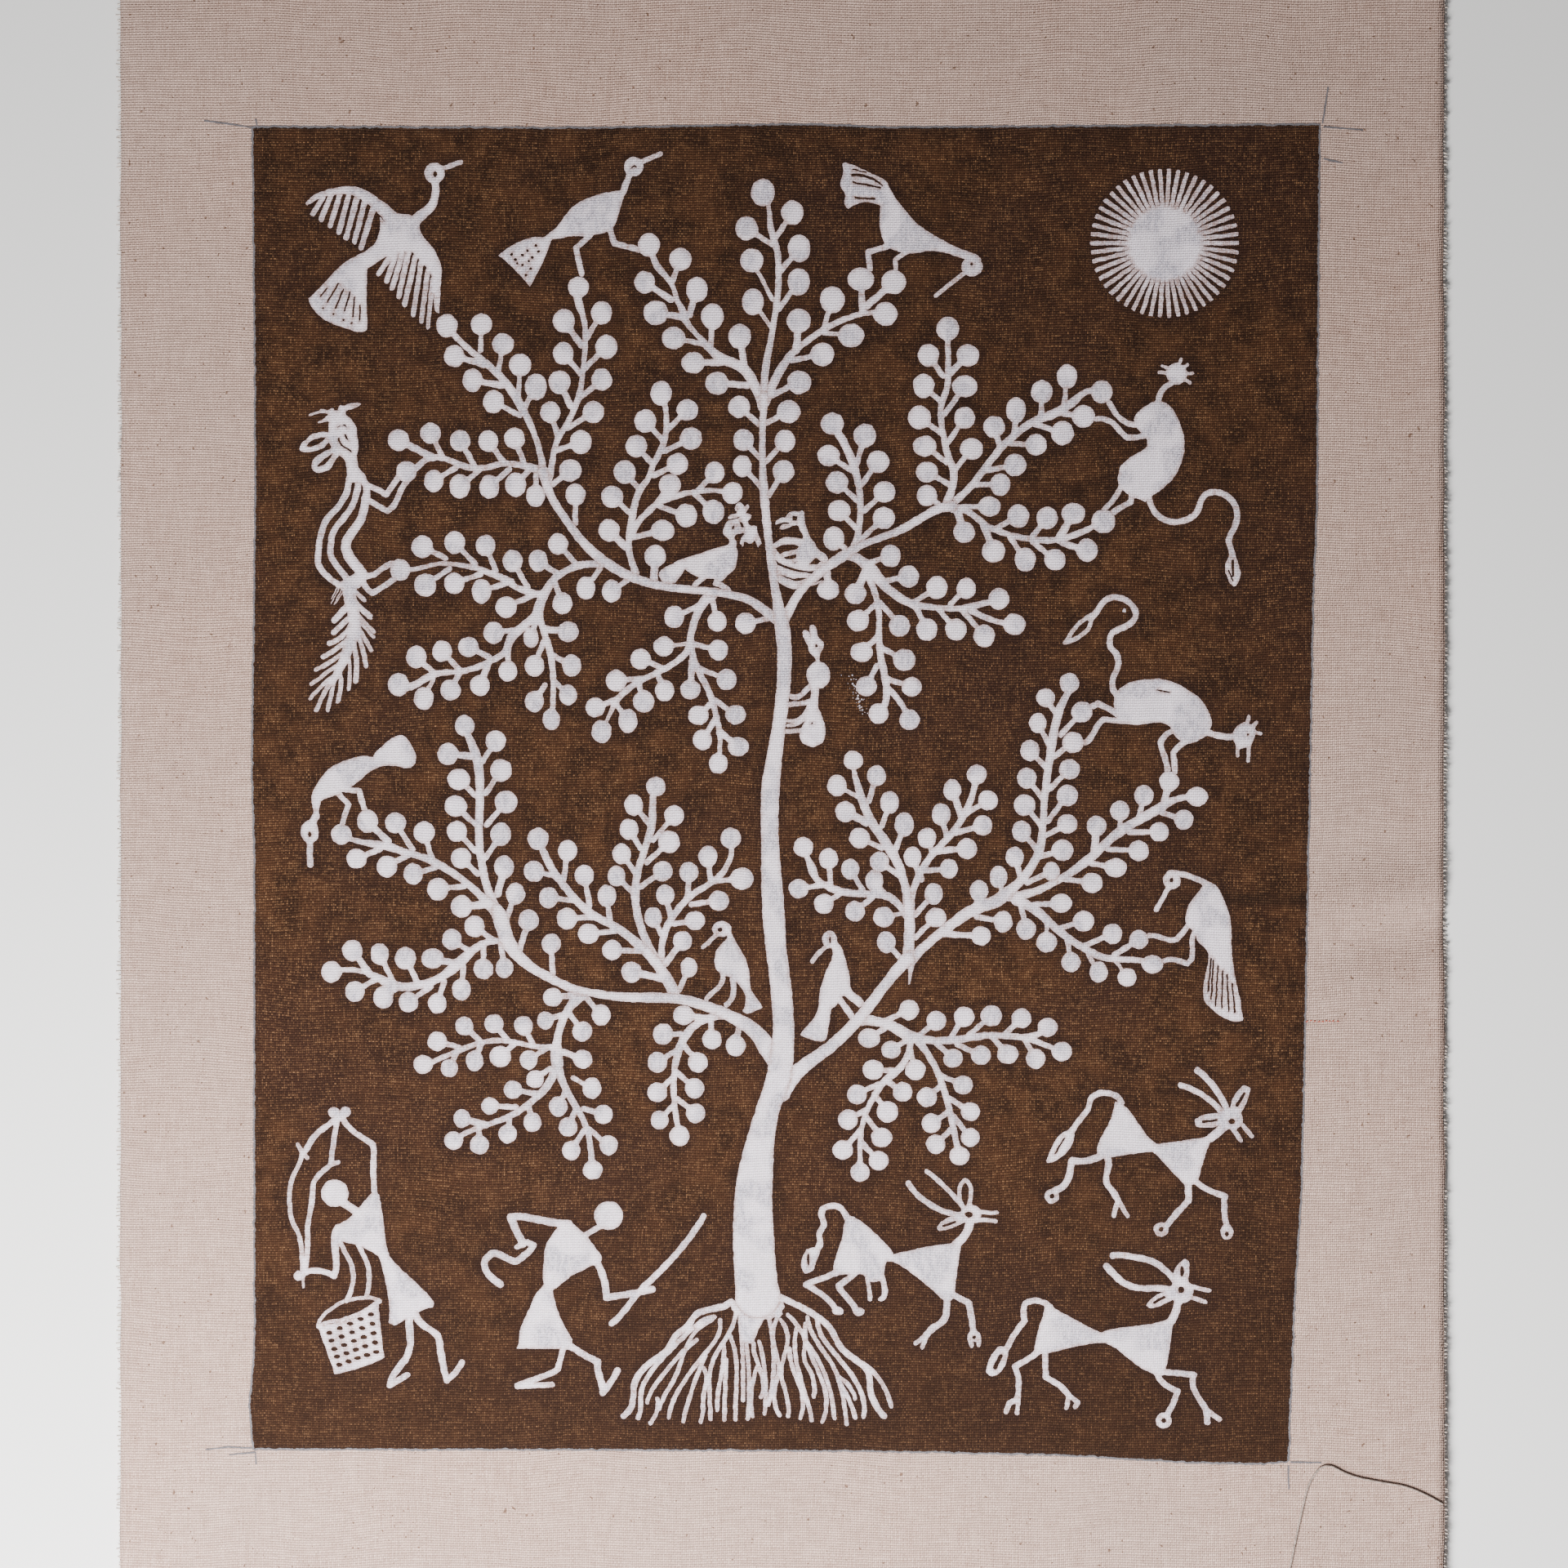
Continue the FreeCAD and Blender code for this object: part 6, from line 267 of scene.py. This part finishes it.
def paint_material():
    """White rice paste: streaked, sparse and bluish in patches, broken at its rim."""
    thin_white, full_white = (0.72, 0.65, 0.735), (0.90, 0.815, 0.91)
    warm_white = (0.63, 0.575, 0.60)
    sparse_blue = (0.27, 0.27, 0.34)
    bare_hollow = (0.40, 0.285, 0.27)
    worn = (0.46, 0.33, 0.30)
    broken_rim = (0.33, 0.20, 0.17)
    n = Nodes("white_paint")
    height, _ = n.weave()
    body = n.attribute("paint_body")
    streak = n.noise(0.9, 3.0, stretch=(1.6, 0.55, 1.0), seed=31.0)
    fine = n.noise(3.4, 2.0, seed=32.0)
    broad = n.noise(0.10, 2.0, seed=33.0)
    color = n.mix(n.ramp(streak, 0.3, 0.7), thin_white, full_white)
    color = n.mix(n.ramp(broad, 0.35, 0.65, 0.0, 0.30), color, warm_white)
    patch = n.noise(0.17, 1.0, seed=34.0)
    sparse = n.math("MULTIPLY", n.ramp(patch, 0.46, 0.55), n.ramp(streak, 0.32, 0.56))
    sparse = n.math("MULTIPLY", sparse, n.ramp(fine, 0.32, 0.60, 0.3, 1.0))
    color = n.mix(n.math("MULTIPLY", sparse, 0.85), color, sparse_blue)
    low = n.ramp(height, 0.05, 0.6, 1.0, 0.0)
    hollow = n.math("MULTIPLY", low, n.ramp(fine, 0.40, 0.62))
    color = n.mix(n.math("MULTIPLY", hollow, 0.62), color, bare_hollow)
    wear = n.math("MULTIPLY", n.ramp(streak, 0.60, 0.76), n.ramp(fine, 0.46, 0.62))
    color = n.mix(n.math("MULTIPLY", wear, 0.45), color, worn)
    edge = n.math("MULTIPLY", n.math("SUBTRACT", 1.0, body), n.ramp(fine, 0.3, 0.62, 0.25, 1.0))
    color = n.mix(n.math("MULTIPLY", edge, 0.85), color, broken_rim)
    relief = n.math("MULTIPLY_ADD", fine, 0.5, height)
    n.bump(relief, 0.6, 0.00016)
    return n.finish(color, 0.75, 0.0, 0.2)


def plain_material(name, color, spread=0.12, scale=2.0, roughness=0.9):
    n = Nodes(name)
    darker = tuple(c * (1 - spread) for c in color)
    lighter = tuple(min(1.0, c * (1 + spread)) for c in color)
    grain = n.noise(scale, 2.0, seed=41.0)
    n.bump(grain, 0.3, 0.00005)
    return n.finish(n.mix(n.ramp(grain, 0.3, 0.7), darker, lighter), roughness)


COTTON = cotton_material()
EARTH = earth_material()
PAINT = paint_material()
COTTON_END = plain_material("cotton_ends", (0.58, 0.50, 0.45), 0.2, 3.0)
THREAD = plain_material("loose_dark_thread", (0.29, 0.225, 0.195), 0.45, 2.0)
GRAPHITE = plain_material("graphite", (0.13, 0.12, 0.13), 0.3, 3.0)
RED_THREAD = plain_material("red_thread", (0.42, 0.10, 0.07), 0.2, 3.0)


# ---------------------------------------------------------------- meshes
def mesh_object(name, vertices, faces, material):
    mesh = bpy.data.meshes.new(name)
    mesh.from_pydata(vertices, [], faces)
    mesh.update()
    mesh.shade_smooth()
    mesh.materials.append(material)
    thing = bpy.data.objects.new(name, mesh)
    bpy.context.scene.collection.objects.link(thing)
    return thing


def float_attribute(thing, name, values):
    layer = thing.data.attributes.new(name, "FLOAT", "POINT")
    layer.data.foreach_set("value", np.asarray(values, np.float32))


def outline_loops(node):
    """Closed loops in mm round a flat film's upper side: outsides and holes."""
    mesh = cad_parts[node].data
    high = max(v.co.z for v in mesh.vertices) - 1e-6
    key = {}
    place = []
    index = []
    for v in mesh.vertices:
        spot = (round(v.co.x / MM, 3), round(v.co.y / MM, 3))
        if spot not in key:
            key[spot] = len(place)
            place.append(spot)
        index.append(key[spot])
    ahead = {}
    for face in mesh.polygons:
        if face.normal.z < 0.9 or mesh.vertices[face.vertices[0]].co.z < high:
            continue
        ring = [index[i] for i in face.vertices]
        for a, b in zip(ring, ring[1:] + ring[:1]):
            if a == b:
                continue
            if (b, a) in ahead:
                del ahead[(b, a)]
            else:
                ahead[(a, b)] = True
    following = {}
    for a, b in ahead:
        following.setdefault(a, []).append(b)
    loops = []
    while following:
        start = next(iter(following))
        here = start
        loop = []
        while here in following:
            loop.append(place[here])
            there = following[here].pop()
            if not following[here]:
                del following[here]
            here = there
            if here == start:
                break
        if len(loop) > 2:
            loops.append(np.array(loop))
    return loops


def resample(loop, step):
    """The loop as points about one step apart."""
    closed = np.vstack([loop, loop[:1]])
    lengths = np.hypot(*np.diff(closed, axis=0).T)
    along = np.concatenate([[0], np.cumsum(lengths)])
    count = max(6, int(along[-1] / step))
    spots = np.linspace(0, along[-1], count, endpoint=False)
    return np.column_stack([np.interp(spots, along, closed[:, 0]), np.interp(spots, along, closed[:, 1])])


def ragged(points, amount):
    """Points moved a little by a smooth noise field, so shared edges stay shared."""
    moved = []
    for x, y in points:
        a = noise.noise_vector(Vector((x * 0.9, y * 0.9, 3.0)))
        b = noise.noise_vector(Vector((x * 2.7, y * 2.7, 9.0)))
        moved.append((x + amount * (a.x + 0.6 * b.x), y + amount * (a.y + 0.6 * b.y)))
    return np.array(moved)


def inside(points, loops):
    """Even-odd test of many points against the loops."""
    odd = np.zeros(len(points), bool)
    px, py = points[:, 0], points[:, 1]
    for loop in loops:
        ax, ay = loop[:, 0], loop[:, 1]
        bx, by = np.roll(ax, -1), np.roll(ay, -1)
        for x0, y0, x1, y1 in zip(ax, ay, bx, by):
            if y0 == y1:
                continue
            crosses = (y0 > py) != (y1 > py)
            odd ^= crosses & (px < (x1 - x0) * (py - y0) / (y1 - y0) + x0)
    return odd


def film_mesh(loops, spacing, margin):
    """Vertices, triangles and distance to the rim for the area within the loops."""
    rim = np.vstack(loops)
    low, high = rim.min(0), rim.max(0)
    xs = np.arange(low[0], high[0], spacing)
    ys = np.arange(low[1], high[1], spacing * 0.87)
    grid = np.array([(x + (spacing / 2 if j % 2 else 0), y) for j, y in enumerate(ys) for x in xs])
    tree = kdtree.KDTree(len(rim))
    for i, p in enumerate(rim):
        tree.insert((p[0], p[1], 0), i)
    tree.balance()
    if len(grid):
        grid = grid[inside(grid, loops)]
    kept = [p for p in grid if tree.find((p[0], p[1], 0))[2] > margin]
    points = [Vector((float(x), float(y))) for x, y in rim] + [Vector((float(x), float(y))) for x, y in kept]
    edges = []
    base = 0
    for loop in loops:
        count = len(loop)
        edges += [(base + i, base + (i + 1) % count) for i in range(count)]
        base += count
    flat, _, faces, *_ = delaunay_2d_cdt(points, edges, [], 1, 1e-5)
    centers = np.array([[sum(flat[i].x for i in face) / 3, sum(flat[i].y for i in face) / 3]
                        for face in faces])
    faces = [face for face, within in zip(faces, inside(centers, loops)) if within]
    away = [tree.find((p.x, p.y, 0))[2] for p in flat]
    return flat, faces, away


def painted(node):
    """The brushed version of one white film: a soft ragged rim and a slight crown."""
    loops = [ragged(resample(loop, 0.42), 0.13) for loop in outline_loops(node)]
    flat, faces, away = film_mesh(loops, 0.75, 0.3)
    vertices = []
    body = []
    for p, d in zip(flat, away):
        full = 1 - math.exp(-d / 0.33)
        lump = 0.5 + 0.5 * noise.noise(Vector((p.x * 0.8, p.y * 0.8, 1.0)))
        lift = RIM_LIFT + (PAINT_LIFT - RIM_LIFT) * full * (0.7 + 0.6 * lump)
        vertices.append(top(p.x, p.y, lift))
        body.append(min(1.0, d / 0.42))
    thing = mesh_object(node + "_paint", vertices, faces, PAINT)
    float_attribute(thing, "paint_body", body)
    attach(thing, "root")
    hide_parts(node)
    return loops


# ---------------------------------------------------------------- the white figures
films = sorted(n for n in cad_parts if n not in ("cotton_cloth", "earth_ground", "loose_thread"))
rims = []
for node in films:
    rims += painted(node)

# ---------------------------------------------------------------- earth panel
white = kdtree.KDTree(sum(len(loop) for loop in rims))
count = 0
for loop in rims:
    for x, y in loop:
        white.insert((x, y, 0), count)
        count += 1
white.balance()
panel_loops = [ragged(resample(loop, 0.5), 0.2) for loop in outline_loops("earth_ground")]
flat, faces, away = film_mesh(panel_loops, 1.15, 0.5)
lifted = [top(p.x, p.y, EARTH_LIFT * min(1.0, 0.4 + d)) for p, d in zip(flat, away)]
panel = mesh_object("earth_panel", lifted, faces, EARTH)
float_attribute(panel, "near_paint", [math.exp(-white.find((p.x, p.y, 0))[2] / 0.9) for p in flat])
float_attribute(panel, "near_rim", [math.exp(-d / 0.8) for d in away])
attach(panel, "root")
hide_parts("earth_ground")


# ---------------------------------------------------------------- cloth
def cloth_sheet():
    """A closed thin sheet with faint waves and slightly uneven cut edges."""
    step = 1.5
    columns = round(2 * HALF_X / step) + 1
    rows = round(2 * HALF_Y / step) + 1
    upper = []
    lower = []
    for j in range(rows):
        for i in range(columns):
            x = -HALF_X + 2 * HALF_X * i / (columns - 1)
            y = -HALF_Y + 2 * HALF_Y * j / (rows - 1)
            edge_x = max(0.0, 1 - (HALF_X - abs(x)) / 3)
            edge_y = max(0.0, 1 - (HALF_Y - abs(y)) / 3)
            pull = noise.noise_vector(Vector((x * 0.09, y * 0.09, 5.0)))
            x += 0.35 * edge_x * pull.x
            y += 0.35 * edge_y * pull.y
            upper.append(top(x, y))
            lower.append((x * MM, y * MM, rest_height(x, y) * MM))
    count = len(upper)
    faces = []
    for j in range(rows - 1):
        for i in range(columns - 1):
            a = j * columns + i
            faces.append((a, a + 1, a + columns + 1, a + columns))
            faces.append((count + a, count + a + columns, count + a + columns + 1, count + a + 1))
    rim = ([i for i in range(columns)] + [j * columns + columns - 1 for j in range(1, rows)]
           + [(rows - 1) * columns + i for i in range(columns - 2, -1, -1)]
           + [j * columns for j in range(rows - 2, 0, -1)])
    for a, b in zip(rim, rim[1:] + rim[:1]):
        faces.append((a, count + a, count + b, b))
    return mesh_object("cotton_sheet", upper + lower, faces, COTTON)


cloth = cloth_sheet()
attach(cloth, "root")
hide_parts("cotton_cloth")


def tube(path, radius, sides=5):
    """Vertices and faces of a small thread along points in mm."""
    vertices = []
    faces = []
    for k, (x, y, z) in enumerate(path):
        a = Vector(path[max(k - 1, 0)])
        b = Vector(path[min(k + 1, len(path) - 1)])
        along = (b - a).normalized()
        side = along.cross(Vector((0, 0, 1))).normalized()
        up = side.cross(along)
        for s in range(sides):
            angle = 2 * math.pi * s / sides
            p = Vector((x, y, z)) + radius * (math.cos(angle) * side + math.sin(angle) * up)
            vertices.append(tuple(p * MM))
    for k in range(len(path) - 1):
        for s in range(sides):
            a = k * sides + s
            b = k * sides + (s + 1) % sides
            faces.append((a, b, b + sides, a + sides))
    faces.append(tuple(range(sides))[::-1])
    faces.append(tuple(range((len(path) - 1) * sides, len(path) * sides)))
    return vertices, faces


def gather(name, pieces, material):
    vertices = []
    faces = []
    for more, rings in pieces:
        base = len(vertices)
        vertices += more
        faces += [tuple(base + i for i in ring) for ring in rings]
    thing = mesh_object(name, vertices, faces, material)
    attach(thing, "root")
    return thing


def cut_ends():
    """Short thread ends along the four cut edges."""
    stubs = []
    for vertical in (False, True):
        reach = HALF_Y if vertical else HALF_X
        for sign in (-1, 1):
            t = -reach + 0.5
            while t < reach - 0.5:
                length = 0.25 + 0.65 * rng.random() ** 2
                lean = rng.uniform(-0.35, 0.35)
                path = []
                for k in range(3):
                    out = (HALF_X if vertical else HALF_Y) - 0.4 + (length + 0.4) * k / 2
                    x, y = (sign * out, t + lean * k / 2) if vertical else (t + lean * k / 2, sign * out)
                    path.append((x, y, rest_height(x, y) + 0.25 + 0.05 * rng.random()))
                stubs.append(tube(path, 0.14 + 0.05 * rng.random()))
                t += 0.62 + 0.25 * rng.random()
    return stubs


fringe = gather("cut_thread_ends", cut_ends(), COTTON_END)


# ---------------------------------------------------------------- small marks on the cloth
def ribbon(points, width, lift):
    """A thin flat mark lying on the cloth."""
    vertices = []
    faces = []
    fine = []
    for (x0, y0), (x1, y1) in zip(points, points[1:]):
        count = max(2, int(math.hypot(x1 - x0, y1 - y0) / 0.6))
        fine += [(x0 + (x1 - x0) * k / count, y0 + (y1 - y0) * k / count) for k in range(count)]
    fine.append(points[-1])
    for k, (x, y) in enumerate(fine):
        a = fine[max(k - 1, 0)]
        b = fine[min(k + 1, len(fine) - 1)]
        length = math.hypot(b[0] - a[0], b[1] - a[1])
        nx, ny = -(b[1] - a[1]) / length, (b[0] - a[0]) / length
        half = width / 2 * rng.uniform(0.6, 1.1)
        wander = rng.uniform(-0.04, 0.04)
        vertices.append(top(x + nx * (half + wander), y + ny * (half + wander), lift))
        vertices.append(top(x - nx * (half - wander), y - ny * (half - wander), lift))
        if k:
            a = 2 * k
            faces.append((a - 2, a - 1, a + 1, a))
    return vertices, faces


PENCIL = [
    [(-110.1, 126.3), (-100.3, 124.9)], [(-100.3, 126.6), (-99.8, 124.6)],
    [(103.1, 125.2), (110.6, 124.6)], [(103.1, 119.1), (106.8, 118.3)],
    [(102.9, 125.8), (104.0, 132.8)], [(96.3, -129.7), (96.4, -134.3)],
    [(96.7, -129.1), (102.6, -129.2)], [(-109.8, -126.7), (-105.5, -126.2), (-101.0, -126.4)],
    [(-105.3, -127.7), (-100.3, -127.2)], [(-100.3, -127.2), (-100.2, -129.5)],
]
panel_edge = [tuple(point) for point in panel_loops[0]]
guides = [ribbon(points, 0.36, 0.05) for points in PENCIL]
guides.append(ribbon(panel_edge + panel_edge[:1], 0.44, 0.045))
pencil = gather("pencil_guides", guides, GRAPHITE)
DASHES = []
for k in range(9):
    start = 99.7 + 0.72 * k + rng.uniform(-0.1, 0.1)
    left = (start, -45.2 + rng.uniform(-0.15, 0.15))
    right = (start + 0.4, -45.15 + rng.uniform(-0.15, 0.15))
    DASHES.append([left, right])
dashes = gather("red_thread_specks", [ribbon(points, 0.22, 0.12) for points in DASHES], RED_THREAD)


def speck(x, y, size):
    """A tiny fleck of white paint."""
    ring = []
    for k in range(7):
        angle = 2 * math.pi * k / 7
        r = size / 2 * rng.uniform(0.6, 1.2)
        ring.append(top(x + r * math.cos(angle), y + r * math.sin(angle), RIM_LIFT + 0.02))
    return ring, [tuple(range(7))]


specks = [speck(65.1, 33.0, 0.8)]
for k in range(46):
    t = rng.random()
    specks.append(speck(12.6 + 2.9 * t + rng.gauss(0, 0.55), 20.9 - 7.4 * t + rng.gauss(0, 0.55),
                        rng.uniform(0.12, 0.42)))
dry_brush = gather("dry_brush_specks", specks, PAINT)
float_attribute(dry_brush, "paint_body", [0.75] * len(dry_brush.data.vertices))

# ---------------------------------------------------------------- loose thread
ROUTE = [(125.6, -137.0), (120.3, -133.9), (114.0, -132.9), (107.8, -131.7), (103.3, -129.0),
         (100.3, -132.5), (98.9, -138.0), (97.4, -145.2), (96.0, -152.0)]
curve = bpy.data.curves.new("loose_cotton_strand", "CURVE")
curve.dimensions = "3D"
spline = curve.splines.new("NURBS")
spline.points.add(len(ROUTE) - 1)
for point, (x, y) in zip(spline.points, ROUTE):
    point.co = (*top(x, y, 0.235), 1.0)
spline.order_u = 3
spline.use_endpoint_u = True
curve.bevel_depth = 0.000225
curve.bevel_resolution = 3
curve.resolution_u = 16
curve.use_fill_caps = True
curve.materials.append(THREAD)
strand = bpy.data.objects.new("loose_cotton_strand", curve)
bpy.context.scene.collection.objects.link(strand)
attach(strand, "root")
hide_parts("loose_thread")
top(*ROUTE[0], 0.235)

# ---------------------------------------------------------------- floor, light and camera
FLOOR_HEIGHT = -0.0002              # m, just under the cloth
floor_mesh = bpy.data.meshes.new("floor")
floor_corners = [(x, y, FLOOR_HEIGHT) for x, y in ((-3, -3), (3, -3), (3, 3), (-3, 3))]
floor_mesh.from_pydata(floor_corners, [], [(0, 1, 2, 3)])
floor_mesh.materials.append(plain_material("pale_floor", (0.86, 0.86, 0.86), 0.01, 0.01))
floor = bpy.data.objects.new("floor", floor_mesh)
bpy.context.scene.collection.objects.link(floor)


def area_light(name, place, aim, size, power, color):
    data = bpy.data.lights.new(name, "AREA")
    data.shape = "DISK"
    data.size = size
    data.energy = power
    data.color = color
    light = bpy.data.objects.new(name, data)
    light.location = place
    light.rotation_euler = (Vector(aim) - Vector(place)).to_track_quat("-Z", "Y").to_euler()
    bpy.context.scene.collection.objects.link(light)


# The photo is brightest at the foot and left, as from a near window on that side.
area_light("window_side", place=(-0.17, -0.40, 0.33), aim=(-0.05, -0.17, 0), size=0.3, power=11.0,
           color=(1.0, 0.985, 0.965))
area_light("fill_side", place=(0.7, 0.6, 1.3), aim=(0, 0, 0), size=1.0, power=0.3,
           color=(0.96, 0.97, 1.0))
world = bpy.data.worlds.new("soft_room")
world.use_nodes = True
world.node_tree.nodes["Background"].inputs[0].default_value = (1, 1, 1, 1)
world.node_tree.nodes["Background"].inputs[1].default_value = 0.14
bpy.context.scene.world = world

AIM_X = 0.00031                     # m, the picture's middle, right of the cloth's
CAMERA_RISE = 0.7049                # m above the cloth, for a picture 298.6 mm wide
MEAN_LIFT = 0.0008                  # m, about the laid cloth's mean height off the floor
camera_data = bpy.data.cameras.new("camera")
camera_data.lens = 85
camera_data.sensor_width = 36
camera = bpy.data.objects.new("camera", camera_data)
camera.location = (AIM_X, 0, CAMERA_RISE + CLOTH_HIGH.z + MEAN_LIFT)
bpy.context.scene.collection.objects.link(camera)
bpy.context.scene.camera = camera
